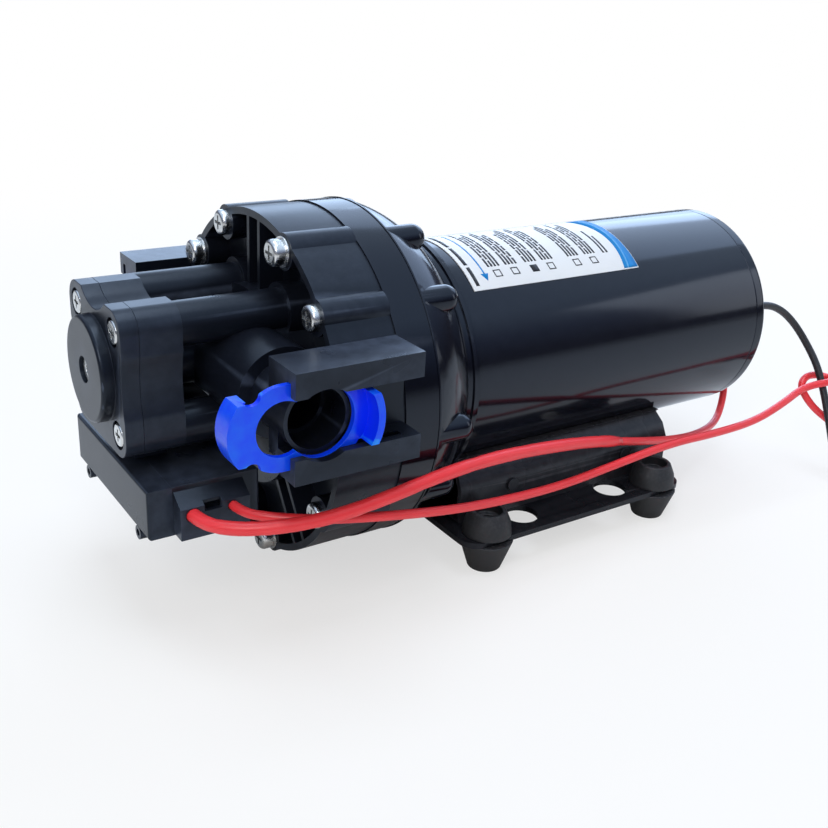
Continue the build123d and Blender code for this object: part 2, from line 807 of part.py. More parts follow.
# Valve plate: five chambers, each with inlet ports round a stem hole and outlet ports
chamber_floor = -valve_plate_front + valve_plate_wall
inlet_places = [on_circle(inlet_valve_circle, angle) for angle in chamber_angles]
inlet_ports = [
    (y + inlet_port_circle * cos(radians(360 / inlet_port_count * k)),
     z + inlet_port_circle * sin(radians(360 / inlet_port_count * k)))
    for y, z in inlet_places for k in range(inlet_port_count)
]
outlet_ports = [
    on_circle(outlet_port_circle, angle + outlet_port_spread * step)
    for angle in chamber_angles for step in (-1, 0, 1)
]
with BuildPart() as valve_plate:
    bar(-valve_plate_front, -diaphragm_sheet, valve_plate_radius)
    bars(chamber_floor, -diaphragm_sheet, chamber_radius, chamber_places, mode=Mode.SUBTRACT)
    bars(-valve_plate_front, chamber_floor, inlet_stem_radius + seat_clearance, inlet_places,
         mode=Mode.SUBTRACT)
    bars(-valve_plate_front, chamber_floor, inlet_port_radius, inlet_ports, mode=Mode.SUBTRACT)
    bars(-valve_plate_front, chamber_floor, outlet_port_radius, outlet_ports, mode=Mode.SUBTRACT)
    bar(-valve_plate_front, outlet_stem_end + overrun, outlet_stem_radius + seat_clearance,
        mode=Mode.SUBTRACT)
    ring(-valve_plate_front, -valve_plate_front + seal_ring_radius * 2 + seat_clearance,
         seal_ring_circle + seal_ring_radius + seat_clearance,
         seal_ring_circle - seal_ring_radius - seat_clearance,
         mode=Mode.SUBTRACT)

with BuildPart() as inlet_valves:
    bars(chamber_floor, chamber_floor + inlet_valve_thickness, inlet_valve_radius, inlet_places)
    bars(-valve_plate_front, chamber_floor, inlet_stem_radius, inlet_places)
    bars(-valve_plate_front - inlet_bulb_length, -valve_plate_front, inlet_bulb_radius, inlet_places)

with BuildPart() as outlet_valve:
    bar(-valve_plate_front - outlet_valve_thickness, -valve_plate_front, outlet_valve_radius)
    bar(-valve_plate_front, outlet_stem_end, outlet_stem_radius)

with BuildPart() as valve_seal_ring:
    with BuildSketch(side_plane(0)):
        with Locations((-valve_plate_front + seal_ring_radius, seal_ring_circle)):
            Circle(seal_ring_radius)
    revolve(axis=pump_axis)

# Pump head: rim with screw bosses, hub with its chambers, two ports and the switch tubes
tube_places = [(side * block_screw_y, block_height + level * block_screw_z)
               for side in (-1, 1) for level in (-1, 1)]
web_front = -valve_plate_front - head_web
chamber_front = -hub_front + hub_wall


def cross_bar(start, end, radius, mode=Mode.ADD):
    """Round bar along Y on the port axis between two y values."""
    with BuildSketch(side_plane(start)) as profile:
        with Locations((-port_distance, port_height)):
            Circle(radius)
    extrude(profile.sketch, amount=start - end, mode=mode)


def side_block(side, distances, outs, heights, mode=Mode.ADD):
    """Square block on the near (-1) or far (+1) side, its outs measured from the pump's middle."""
    block(distances, sorted((side * outs[0], side * outs[1])), heights, mode=mode)


rail_low = port_height - rail_gap / 2 - rail_height
rail_high = port_height + rail_gap / 2 + rail_height
rail_span = (-rail_front, -rail_rear)
slot_inner = clip_face - clip_thickness - clip_slot_gap
slot_outer = clip_face + clip_slot_gap
with BuildPart() as pump_head:
    bar(web_front, 0, rim_radius)
    ring(-rim_front, web_front, rim_radius, rim_radius - rim_wall)
    bars(-rim_front, 0, rim_boss_radius, plain_places + washer_places)
    bar(-hub_front, web_front, hub_radius)
    rib_length = rim_radius - hub_radius
    with BuildSketch(cross_plane(-rim_front)):
        for angle in chamber_angles:
            rib_middle = on_circle(hub_radius + rib_length / 2 - rim_wall / 2, angle)
            with Locations(Location(rib_middle, 180 - angle)):
                with Locations((0, -rib_pair_spacing / 2), (0, rib_pair_spacing / 2)):
                    Rectangle(rib_length, rib_thickness)
    extrude(amount=rim_front + web_front)
    cross_bar(-manifold_half_width, manifold_half_width, manifold_radius)
    cross_bar(-port_mouth, port_mouth, port_radius)
    bar(-block_rear, -hub_front, centre_tube_radius, (0, block_height))
    bars(-block_rear, web_front, lobe_radius, tube_places)
    bars(-tube_collar_front, web_front, tube_collar_radius, tube_places)
    for side in (-1, 1):
        side_block(side, rail_span, (rail_inner, rail_outer), (rail_high - rail_height, rail_high))
        side_block(side, rail_span, (rail_inner, rail_outer), (rail_low, rail_low + rail_height))
        side_block(side, rail_span, (carrier_inner, rail_inner), (rail_low, rail_high))
        side_block(side, (-rail_front - overrun, -clip_slot_rear), (slot_inner, slot_outer),
                   (port_height - clip_slot_height, port_height + clip_slot_height), mode=Mode.SUBTRACT)
        cross_bar(side * port_mouth, side * (rail_outer + overrun), rail_notch_radius, mode=Mode.SUBTRACT)
        cross_bar(side * (port_mouth - port_mouth_depth), side * (port_mouth + overrun), port_mouth_radius,
                  mode=Mode.SUBTRACT)
    cross_bar(-port_mouth, -inlet_bore_end, port_bore_radius, mode=Mode.SUBTRACT)
    cross_bar(-outlet_bore_end, port_mouth, port_bore_radius, mode=Mode.SUBTRACT)
    bar(-valve_plate_front, overrun, head_cavity_radius, mode=Mode.SUBTRACT)
    bar(chamber_front, -valve_plate_front, central_chamber_radius, mode=Mode.SUBTRACT)
    ring(chamber_front, -valve_plate_front, ring_chamber_outer, ring_chamber_inner, mode=Mode.SUBTRACT)
    bar(-port_distance, chamber_front + overrun, ring_passage_radius, (-ring_passage_offset, port_height),
        mode=Mode.SUBTRACT)
    bar(-port_distance, chamber_front + overrun, centre_passage_radius,
        (centre_passage_offset, port_height - switch_passage_radius), mode=Mode.SUBTRACT)
    bar(-block_rear - overrun, -port_distance, switch_passage_radius, (0, block_height), mode=Mode.SUBTRACT)
    bars(-rim_front - overrun, overrun, screw_shank_radius + seat_clearance, plain_places + washer_places,
         mode=Mode.SUBTRACT)
    bars(-rail_front - overrun, -rim_front, screw_access_radius,
         [(y, z) for y, z in plain_places + washer_places if rail_low - screw_access_radius < z < rail_high],
         mode=Mode.SUBTRACT)
    bars(-block_rear - overrun, -block_front + cover_pocket_depth + cover_screw_length + overrun * 2,
         cover_screw_radius + seat_clearance, tube_places, mode=Mode.SUBTRACT)

# Screws of the pump head: five plain ones, five with a flat and a spring washer
flat_face = -rim_front - flat_washer_thickness
spring_face = flat_face - spring_washer_thickness


def rings(start, end, outer, inner, places):
    """Equal tubes along X at several (y, z) places."""
    with BuildSketch(cross_plane(start)) as profile:
        with Locations(*places):
            Circle(outer)
            Circle(inner, mode=Mode.SUBTRACT)
    extrude(profile.sketch, amount=end - start)


def cross_recess(face, places, reach):
    """Cross recess cut into screw heads whose outer faces lie at one distance."""
    with BuildSketch(cross_plane(face)) as profile:
        with Locations(*places):
            Rectangle(reach * 2, recess_width)
            Rectangle(recess_width, reach * 2)
    extrude(profile.sketch, amount=recess_depth, mode=Mode.SUBTRACT)


def head_screws(under_head, places):
    """Screws with rounded cross heads, their shanks reaching towards the motor."""
    with BuildPart() as body:
        bars(under_head - screw_head_height, under_head, screw_head_radius, places)
        fillet(body.edges().group_by(Axis.X)[0], screw_crown_radius)
        bars(under_head, under_head + screw_length, screw_shank_radius, places)
        cross_recess(under_head - screw_head_height, places, recess_reach)
    return body


plain_screws = head_screws(-rim_front, plain_places)
washered_screws = head_screws(spring_face, washer_places)

with BuildPart() as flat_washers:
    rings(flat_face, -rim_front, flat_washer_radius, screw_shank_radius + seat_clearance, washer_places)

with BuildPart() as spring_washers:
    with BuildSketch(cross_plane(spring_face)):
        with Locations(*washer_places):
            Circle(spring_washer_radius)
            Circle(screw_shank_radius + seat_clearance, mode=Mode.SUBTRACT)
            with Locations((spring_washer_radius, 0)):
                Rectangle(spring_washer_radius * 2, spring_washer_split, mode=Mode.SUBTRACT)
    extrude(amount=spring_washer_thickness)


# Locking clips of the two ports
def outward(side, near, far):
    """The high y value and the depth of a span measured outwards from the pump's middle."""
    ys = sorted((side * near, side * far))
    return ys[1], ys[1] - ys[0]


def port_clip(side, shift):
    """Keyhole clip of the near (-1) or far (+1) port, at a shift towards the motor."""
    open_x = -port_distance + shift
    lock_x = open_x - clip_travel
    wing_x = open_x - clip_wing_reach
    tail_x = open_x + clip_tail_reach
    plate_y, plate_depth = outward(side, clip_face - clip_thickness, clip_face)
    grip_y, grip_depth = outward(side, clip_face - clip_grip_depth, clip_face)
    lip_y, lip_depth = outward(side, clip_face - clip_thickness, clip_face + clip_flange_depth)

    def wing(y, depth, hollow):
        with BuildSketch(side_plane(y)) as profile:
            with Locations((wing_x + clip_wing_radius, port_height)):
                Circle(clip_wing_radius)
                if hollow:
                    Circle(clip_wing_radius - clip_flange_thickness, mode=Mode.SUBTRACT)
            with Locations((wing_x, port_height)):
                Rectangle(clip_wing_radius * 2, clip_horn_half_height * 2, mode=Mode.INTERSECT)
        extrude(profile.sketch, amount=depth)

    def tail(y, depth, hollow):
        with BuildSketch(side_plane(y)) as profile:
            with Locations((open_x, port_height)):
                Circle(clip_tail_reach)
                if hollow:
                    Circle(clip_tail_reach - clip_flange_thickness, mode=Mode.SUBTRACT)
            with Locations((tail_x, port_height)):
                Rectangle(clip_tail_reach * 2, clip_tail_half_height * 2, mode=Mode.INTERSECT)
        extrude(profile.sketch, amount=depth)

    with BuildPart() as body:
        with BuildSketch(side_plane(plate_y)) as plate:
            with Locations((lock_x, port_height)):
                Circle(clip_half_height)
            with Locations(((lock_x + open_x) / 2, port_height)):
                Rectangle(clip_travel, clip_half_height * 2)
            with Locations((open_x, port_height)):
                Circle(clip_body_reach)
            with Locations((open_x, port_height)):
                Rectangle(clip_wing_reach * 2, clip_half_height * 2, mode=Mode.INTERSECT)
        extrude(plate.sketch, amount=plate_depth)
        wing(plate_y, plate_depth, hollow=False)
        wing(grip_y, grip_depth, hollow=True)
        tail(plate_y, plate_depth, hollow=False)
        tail(lip_y, lip_depth, hollow=True)
        with BuildSketch(side_plane(plate_y)) as holes:
            with Locations((lock_x, port_height)):
                Circle(clip_lock_radius)
            with Locations((open_x, port_height)):
                Circle(clip_open_radius)
            dent_rise = clip_horn_half_height - clip_dent_depth + clip_dent_radius
            dent_x = wing_x + clip_wing_radius - clip_horn_half_height + clip_horn_width
            with Locations((dent_x, port_height + dent_rise), (dent_x, port_height - dent_rise)):
                Circle(clip_dent_radius)
        extrude(holes.sketch, amount=plate_depth, mode=Mode.SUBTRACT)
    return body


inlet_clip = port_clip(-1, 0)
outlet_clip = port_clip(1, clip_travel)


# Pressure switch block in front of the ports
def block_slab(start, end):
    """Four-lobed slab between two distances."""
    with BuildSketch(cross_plane(start)) as profile:
        with Locations(*tube_places):
            Circle(lobe_radius)
        make_hull(profile.edges())
        crown_height = block_screw_z + lobe_radius - valley_depth + valley_radius
        with Locations((0, block_height + crown_height)):
            Circle(valley_radius, mode=Mode.SUBTRACT)
        waist_y = block_screw_y + lobe_radius - waist_depth + waist_radius
        with Locations((-waist_y, block_height), (waist_y, block_height)):
            Circle(waist_radius, mode=Mode.SUBTRACT)
    extrude(profile.sketch, amount=end - start)


block_middle = (0, block_height)
arm_front = -plunger_arm_distance - plunger_arm_thickness / 2
arm_rear = -plunger_arm_distance + plunger_arm_thickness / 2
slot_x = (arm_front - plunger_travel - body_gap, arm_rear + body_gap)
slot_ys = (-arm_slot_width / 2, arm_slot_width / 2)
membrane_front = -block_rear - switch_diaphragm_thickness
pocket_floor = -block_front + cover_pocket_depth
with BuildPart() as switch_body:
    block_slab(-block_seam, -block_rear)
    block((-neck_front, -neck_rear), (-neck_half_width, neck_half_width),
          (box_top, block_height - block_screw_z))
    bar(-block_seam, membrane_front, switch_bore_radius, block_middle, mode=Mode.SUBTRACT)
    bar(membrane_front, -block_rear, switch_diaphragm_radius + seat_clearance, block_middle,
        mode=Mode.SUBTRACT)
    block(slot_x, slot_ys, (box_top, block_height), mode=Mode.SUBTRACT)
    bars(-block_seam, -block_rear, cover_screw_radius + seat_clearance, tube_places, mode=Mode.SUBTRACT)

seat_front = -spring_seat_distance
seat_rear = seat_front + spring_seat_thickness
adjuster_shoulder = -dial_front + dial_hole_depth
keyway_low = block_height + spring_seat_radius / 2
with BuildPart() as switch_cover:
    block_slab(-block_front, -block_seam)
    bar(-dial_front, -block_front, dial_radius, block_middle)
    fillet(switch_cover.edges().group_by(Axis.X)[0], dial_edge_radius)
    bar(-dial_front, adjuster_shoulder, dial_hole_radius, block_middle, mode=Mode.SUBTRACT)
    bar(adjuster_shoulder, -block_seam, adjuster_radius + running_clearance, block_middle, mode=Mode.SUBTRACT)
    bar(seat_front - spring_seat_travel - body_gap, -block_seam, switch_bore_radius, block_middle,
        mode=Mode.SUBTRACT)
    block((seat_front - spring_seat_travel - body_gap, -block_seam),
          (-key_width / 2 - seat_clearance, key_width / 2 + seat_clearance),
          (keyway_low, block_height + key_reach + body_gap), mode=Mode.SUBTRACT)
    bars(-block_front, pocket_floor, cover_pocket_radius, tube_places, mode=Mode.SUBTRACT)
    bars(-block_front, -block_seam, cover_screw_radius + seat_clearance, tube_places, mode=Mode.SUBTRACT)

with BuildPart() as switch_diaphragm:
    bar(membrane_front, -block_rear, switch_diaphragm_radius, block_middle)

with BuildPart() as switch_plunger:
    bar(membrane_front - plunger_head_thickness, membrane_front, plunger_head_radius, block_middle)
    bar(arm_front, membrane_front - plunger_head_thickness, plunger_radius, block_middle)
    block((arm_front, arm_rear), (-plunger_arm_width / 2, plunger_arm_width / 2),
          (plunger_arm_end, block_height))

# Spring of the pressure switch as a plain tube, its keyed seat and the screw that sets it
with BuildPart() as switch_spring:
    ring(seat_rear, arm_front, switch_spring_radius, switch_spring_radius - switch_spring_wall, block_middle)

with BuildPart() as spring_seat:
    bar(seat_front, seat_rear, spring_seat_radius, block_middle)
    block((seat_front, seat_rear), (-key_width / 2, key_width / 2), (keyway_low, block_height + key_reach))
    bar(seat_front, seat_rear, adjuster_radius + running_clearance, block_middle, mode=Mode.SUBTRACT)

with BuildPart() as adjuster_screw:
    bar(adjuster_shoulder - adjuster_head_length, adjuster_shoulder, adjuster_head_radius, block_middle)
    bar(adjuster_shoulder, adjuster_shoulder + adjuster_length, adjuster_radius, block_middle)
    with BuildSketch(cross_plane(adjuster_shoulder - adjuster_head_length)):
        with Locations(block_middle):
            RegularPolygon(adjuster_socket_radius, 6)
    extrude(amount=adjuster_socket_depth, mode=Mode.SUBTRACT)

with BuildPart() as cover_screws:
    bars(pocket_floor - cover_screw_head_height, pocket_floor, cover_screw_head_radius, tube_places)
    fillet(cover_screws.edges().group_by(Axis.X)[0], cover_screw_crown)
    bars(pocket_floor, pocket_floor + cover_screw_length, cover_screw_radius, tube_places)
    cross_recess(pocket_floor - cover_screw_head_height, tube_places, cover_recess_reach)

# Box of the electric switch, in two halves, with a hood over the two terminals
box_ys = (-box_half_width, box_half_width)
box_inner_ys = (-box_half_width + box_wall, box_half_width - box_wall)
box_heights = (box_bottom, box_top)
box_inner_heights = (box_bottom + box_wall, box_top - box_wall)
ear_places = [(side * ear_y, box_bottom - ear_drop) for side in (-1, 1)]
with BuildPart() as switch_box_front:
    block((-box_front, -box_seam), box_ys, box_heights)
    fillet(switch_box_front.edges().group_by(Axis.X)[0], box_edge_radius)
    block((-box_front + box_wall, -box_seam), box_inner_ys, box_inner_heights, mode=Mode.SUBTRACT)
    bars(-box_front, -box_front + ear_length, ear_radius, ear_places)
    bars(-box_front, -box_front + ear_length, ear_hole_radius, ear_places, mode=Mode.SUBTRACT)

thick_start = thick_red_route[0]
thin_start = thin_red_route[0]


def hood_profile(wall, lowest, highest, slope):
    """Section of the hood, square to the pump axis, drawn in by a wall."""
    with BuildSketch(cross_plane(-hood_front + wall)) as profile:
        with BuildLine():
            Polyline((-box_half_width, lowest), (-hood_outer + wall, lowest),
                     (-hood_outer + wall, highest - slope), (-box_half_width, highest), close=True)
        make_face()
    return profile.sketch


with BuildPart() as switch_box:
    block((-box_seam, -box_rear), box_ys, box_heights)
    fillet(switch_box.edges().group_by(Axis.X)[-1], box_edge_radius)
    block((-box_seam, -box_rear - box_wall), box_inner_ys, box_inner_heights, mode=Mode.SUBTRACT)
    block(slot_x, slot_ys, (box_top - box_wall, box_top), mode=Mode.SUBTRACT)
    extrude(hood_profile(0, hood_bottom, hood_top, hood_slope), amount=hood_front - hood_rear)
    extrude(hood_profile(hood_wall, hood_bottom + hood_wall, hood_top - hood_wall, hood_slope - hood_wall),
            amount=hood_front - hood_rear - hood_wall * 2, mode=Mode.SUBTRACT)
    with BuildSketch(side_plane(-hood_outer + hood_wall)):
        with Locations((thick_start[0], thick_start[2])):
            Circle(sleeve_radius + lead_fit)
        with Locations((thin_start[0], thin_start[2])):
            Circle(lead_radius + lead_fit)
        with Locations((-hood_window_distance, hood_window_z)):
            Rectangle(hood_window_width, hood_window_height)
    extrude(amount=hood_wall, mode=Mode.SUBTRACT)
    for start in (thick_start, thin_start):
        block((start[0] - tab_thickness / 2 - seat_clearance, start[0] + tab_thickness / 2 + seat_clearance),
              (-box_half_width, -box_half_width + box_wall),
              (start[2] - tab_height / 2 - seat_clearance, start[2] + tab_height / 2 + seat_clearance),
              mode=Mode.SUBTRACT)

with BuildPart() as switch_terminals:
    for start in (thick_start, thin_start):
        block((start[0] - tab_thickness / 2, start[0] + tab_thickness / 2), (-tab_outer, -tab_inner),
              (start[2] - tab_height / 2, start[2] + tab_height / 2))

micro_front = -box_front + box_wall
micro_rear = micro_front + microswitch_depth
button_tip = arm_front - seat_clearance
button_root = micro_rear - plunger_travel
with BuildPart() as microswitch:
    block((micro_front, micro_rear), (-microswitch_width / 2, microswitch_width / 2),
          (microswitch_z - microswitch_height / 2, microswitch_z + microswitch_height / 2))
    block((button_root - plunger_travel - body_gap, micro_rear),
          (-button_size / 2 - seat_clearance, button_size / 2 + seat_clearance),
          (microswitch_z - button_size / 2 - seat_clearance,
           microswitch_z + button_size / 2 + seat_clearance),
          mode=Mode.SUBTRACT)

with BuildPart() as microswitch_button:
    block((button_root, button_tip), (-button_size / 2, button_size / 2),
          (microswitch_z - button_size / 2, microswitch_z + button_size / 2))

# Base plate on four feet
stand_middle = (plate_front + plate_rear) / 2
foot_places = [
    (stand_middle + along_side * foot_spacing_x / 2, side * foot_spacing_y / 2)
    for along_side in (-1, 1) for side in (-1, 1)
]
lightening_places = [
    (stand_middle + along_side * lightening_spacing / 2, side * lightening_y)
    for along_side in (-1, 1) for side in (-1, 1)
]
rivet_distances = [(cradle_front + cradle_rear) / 2 + along_side * rivet_offset for along_side in (-1, 1)]
tab_outer_y = cradle_web_y - cradle_thickness
rivet_z = stand_plate_top + rivet_height
with BuildPart() as base_plate:
    with BuildSketch(floor_plane(stand_plate_top - stand_plate_thickness)):
        with Locations((stand_middle, 0)):
            RectangleRounded(plate_rear - plate_front, plate_half_width * 2, plate_corner_radius)
        with Locations(*foot_places):
            Circle(foot_hole_radius, mode=Mode.SUBTRACT)
        with Locations(*lightening_places):
            Circle(lightening_radius, mode=Mode.SUBTRACT)
    extrude(amount=stand_plate_thickness)
    for distance in rivet_distances:
        for side in (-1, 1):
            side_block(side, (distance - rivet_tab_width / 2, distance + rivet_tab_width / 2),
                       (tab_outer_y - stand_plate_thickness, tab_outer_y),
                       (stand_plate_top, stand_plate_top + rivet_tab_height))
        with BuildSketch(side_plane(tab_outer_y)) as rivet_hole:
            with Locations((distance, rivet_z)):
                Circle(rivet_radius + seat_clearance)
        extrude(rivet_hole.sketch, amount=tab_outer_y * 2, mode=Mode.SUBTRACT)

# Motor cradle: one folded sheet under the motor, with two side webs
saddle_inner = motor_radius + motor_fit
saddle_outer = saddle_inner + cradle_thickness
touch_y = saddle_inner * cos(radians(cradle_touch_angle))
touch_z = -saddle_inner * sin(radians(cradle_touch_angle))
inner_touch_y = saddle_outer * cos(radians(cradle_inner_angle))
inner_touch_z = -saddle_outer * sin(radians(cradle_inner_angle))
with BuildPart() as motor_cradle:
    with BuildSketch(cross_plane(cradle_front)):
        Circle(saddle_outer)
        Circle(saddle_inner, mode=Mode.SUBTRACT)
        with Locations((0, touch_z - saddle_outer)):
            Rectangle(saddle_outer * 2, saddle_outer * 2, mode=Mode.INTERSECT)
        for side in (-1, 1):
            with BuildLine():
                Polyline(
                    (side * touch_y, touch_z),
                    (side * cradle_shoulder_y, cradle_shoulder_z),
                    (side * cradle_web_y, cradle_web_top),
                    (side * cradle_web_y, stand_plate_top),
                    (side * (cradle_web_y - cradle_flange_width), stand_plate_top),
                    (side * (cradle_web_y - cradle_flange_width), stand_plate_top + cradle_thickness),
                    (side * tab_outer_y, stand_plate_top + cradle_thickness),
                    (side * tab_outer_y, cradle_web_top - cradle_thickness / 2),
                    (side * (cradle_shoulder_y - cradle_thickness / 2), cradle_shoulder_z - cradle_thickness),
                    (side * inner_touch_y, inner_touch_z),
                    close=True,
                )
            make_face()
    extrude(amount=cradle_rear - cradle_front)
    for distance in rivet_distances:
        for side in (-1, 1):
            side_block(side, (distance - rivet_tab_width / 2 - body_gap,
                              distance + rivet_tab_width / 2 + body_gap),
                       (cradle_web_y - cradle_flange_width, tab_outer_y),
                       (stand_plate_top, stand_plate_top + cradle_thickness), mode=Mode.SUBTRACT)
        with BuildSketch(side_plane(cradle_web_y)) as rivet_hole:
            with Locations((distance, rivet_z)):
                Circle(rivet_radius + seat_clearance)
        extrude(rivet_hole.sketch, amount=cradle_web_y * 2, mode=Mode.SUBTRACT)


def rivet_bar(side, distance, near, far, radius):
    """Round bar along Y at a rivet, its ends measured outwards from the pump's middle."""
    y, depth = outward(side, near, far)
    with BuildSketch(side_plane(y)) as profile:
        with Locations((distance, rivet_z)):
            Circle(radius)
    extrude(profile.sketch, amount=depth)


tab_inner_y = tab_outer_y - stand_plate_thickness
with BuildPart() as cradle_rivets:
    for distance in rivet_distances:
        for side in (-1, 1):
            rivet_bar(side, distance, cradle_web_y, cradle_web_y + rivet_head_height, rivet_head_radius)
            rivet_bar(side, distance, tab_inner_y, cradle_web_y, rivet_radius)
            rivet_bar(side, distance, tab_inner_y - rivet_head_height, tab_inner_y, rivet_head_radius)

# Rubber feet with a groove that the base plate sits in
foot_bottom = -shaft_height
foot_collar = stand_plate_top - stand_plate_thickness
groove_radius = foot_hole_radius - foot_groove_clearance
with BuildPart() as rubber_feet:
    for distance, y in foot_places:
        with BuildSketch(side_plane(y)) as foot_section:
            with BuildLine():
                Polyline(
                    (distance + foot_bore_radius, foot_bottom),
                    (distance + foot_base_radius, foot_bottom),
                    (distance + foot_cone_radius, foot_collar),
                    (distance + groove_radius, foot_collar),
                    (distance + groove_radius, stand_plate_top),
                    (distance + foot_dome_radius, stand_plate_top),
                    (distance + foot_dome_waist, stand_plate_top + foot_dome_height),
                    (distance + foot_top_radius, foot_top),
                    (distance + foot_recess_radius, foot_top),
                    (distance + foot_recess_radius, foot_top - foot_recess_depth),
                    (distance + foot_bore_radius, foot_top - foot_recess_depth),
                    close=True,
                )
            make_face()
        revolve(foot_section.sketch, axis=Axis((along(distance), y, 0), (0, 0, 1)))

# Blank label wrapped round the near side of the motor
label_middle_angle = (label_low_angle + label_high_angle) / 2
with BuildPart() as motor_label:
    with BuildSketch(cross_plane(label_front)):
        Circle(motor_radius + label_thickness)
        Circle(motor_radius, mode=Mode.SUBTRACT)
        with BuildLine():
            Polyline((0, 0), *[on_circle(motor_radius * 2, angle) for angle in
                     (label_low_angle, label_middle_angle, label_high_angle)], close=True)
        make_face(mode=Mode.INTERSECT)
    extrude(amount=label_rear - label_front)

# Grommets in the motor's rear end
with BuildPart() as lead_grommets:
    rings(can_rear, motor_rear, grommet_radius - seat_clearance, lead_radius + lead_fit, lead_entries)
    rings(motor_rear, motor_rear + grommet_flange_thickness, grommet_flange_radius, lead_radius + lead_fit,
          lead_entries)


# Leads: straight runs joined by the largest bends that the runs leave room for
def bend_radii(points):
    """Radius of each bend of a route."""
    radii = []
    for before, here, after in zip(points, points[1:], points[2:]):
        turn = radians((here - before).get_angle(after - here))
        shorter = min((here - before).length, (after - here).length)
        radii.append(bend_share * shorter / tan(turn / 2))
    return radii


def lead_tube(name, points, radii, outer, inner=0):
    """Tube along a route, with its measures printed."""
    with BuildLine() as path:
        FilletPolyline(*points, radius=radii)
    with BuildPart() as body:
        with BuildSketch(Plane(origin=path.line @ 0, z_dir=path.line % 0)) as section:
            Circle(outer)
            if inner:
                Circle(inner, mode=Mode.SUBTRACT)
        sweep(section.sketch, path=path.wire())
    length = path.wire().length
    print(name, "length", round(length, 1), "radii", [round(radius, 1) for radius in radii])
    print(name, "volume", round(body.part.volume),
          "section x length", round(pi * (outer**2 - inner**2) * length))
    return body


def stripped_end(points):
    """Bare copper beyond the last point of a route."""
    way = (points[-1] - points[-2]).normalized()
    with BuildSketch(Plane(origin=points[-1], z_dir=way)) as profile:
        Circle(strand_radius)
    extrude(profile.sketch, amount=stripped_length)


thick_points = [place(*point) for point in thick_red_route]
thin_points = [place(*point) for point in thin_red_route]
black_points = [place(*point) for point in black_route]
thick_radii = bend_radii(thick_points)
sleeve_end = (thick_points[sleeve_points - 1] + thick_points[sleeve_points]) / 2
lead_sleeve = lead_tube("lead_sleeve", thick_points[:sleeve_points] + [sleeve_end],
                        thick_radii[:sleeve_points - 1], sleeve_radius, lead_radius + lead_fit)
thick_red_lead = lead_tube("thick_red_lead", thick_points, thick_radii, lead_radius)
thin_red_lead = lead_tube("thin_red_lead", thin_points, bend_radii(thin_points), lead_radius)
black_lead = lead_tube("black_lead", black_points, bend_radii(black_points), lead_radius)
with BuildPart() as stripped_lead_ends:
    stripped_end(thin_points)
    stripped_end(black_points)

nodes = {
    "motor_can": motor_can,
    "motor_end_cap": motor_end_cap,
    "rear_bush": rear_bush,
    "field_magnets": field_magnets,
    "armature_core": armature_core,
    "armature_windings": armature_windings,
    "commutator": commutator,
    "motor_shaft": motor_shaft,
    "brush_card": brush_card,
    "upper_brush": upper_brush,
    "lower_brush": lower_brush,
    "brush_springs": brush_springs,
    "front_bearing_outer_ring": front_bearing_outer_ring,
    "front_bearing_inner_ring": front_bearing_inner_ring,
    "front_bearing_balls": front_bearing_balls,
    "drive_housing": drive_housing,
    "wobble_cam": wobble_cam,
    "wobble_bearing_inner_ring": wobble_bearing_inner_ring,
    "wobble_bearing_outer_ring": wobble_bearing_outer_ring,
    "wobble_bearing_balls": wobble_bearing_balls,
    "wobble_plate": wobble_plate,
    "pistons": pistons,
    "piston_screws": piston_screws,
    "diaphragm": diaphragm,
    "diaphragm_carrier": diaphragm_carrier,
    "valve_plate": valve_plate,
    "inlet_valves": inlet_valves,
    "outlet_valve": outlet_valve,
    "valve_seal_ring": valve_seal_ring,
    "pump_head": pump_head,
    "plain_screws": plain_screws,
    "washered_screws": washered_screws,
    "flat_washers": flat_washers,
    "spring_washers": spring_washers,
    "inlet_clip": inlet_clip,
    "outlet_clip": outlet_clip,
    "switch_body": switch_body,
    "switch_cover": switch_cover,
    "switch_diaphragm": switch_diaphragm,
    "switch_plunger": switch_plunger,
    "switch_spring": switch_spring,
    "spring_seat": spring_seat,
    "adjuster_screw": adjuster_screw,
    "cover_screws": cover_screws,
    "switch_box_front": switch_box_front,
    "switch_box": switch_box,
    "switch_terminals": switch_terminals,
    "microswitch": microswitch,
    "microswitch_button": microswitch_button,
    "base_plate": base_plate,
    "motor_cradle": motor_cradle,
    "cradle_rivets": cradle_rivets,
    "rubber_feet": rubber_feet,
    "motor_label": motor_label,
    "lead_grommets": lead_grommets,
    "lead_sleeve": lead_sleeve,
    "thick_red_lead": thick_red_lead,
    "thin_red_lead": thin_red_lead,
    "black_lead": black_lead,
    "stripped_lead_ends": stripped_lead_ends,
}
for name, node in nodes.items():
    node.part.label = name
    export_step(node.part, f"parts/{name}.step")
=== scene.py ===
# %% [markdown]
# # A diaphragm water pump, dressed in Blender
# The solids of the pump come from its CAD model, in metres. They carry the sizes, the
# joints and the places of the mounts, so nothing here moves or resizes them. This lesson
# adds what a CAD solid lacks: rounded edges, finishes, leads that hang as real leads do,
# the printed film on the motor, and the light of a small studio. A plain import of the
# solids would show knife-sharp edges and flat colours, which no moulded part has.

# %% Load the solids
import json
import math

import bmesh
import bpy
from mathutils import Matrix, Vector


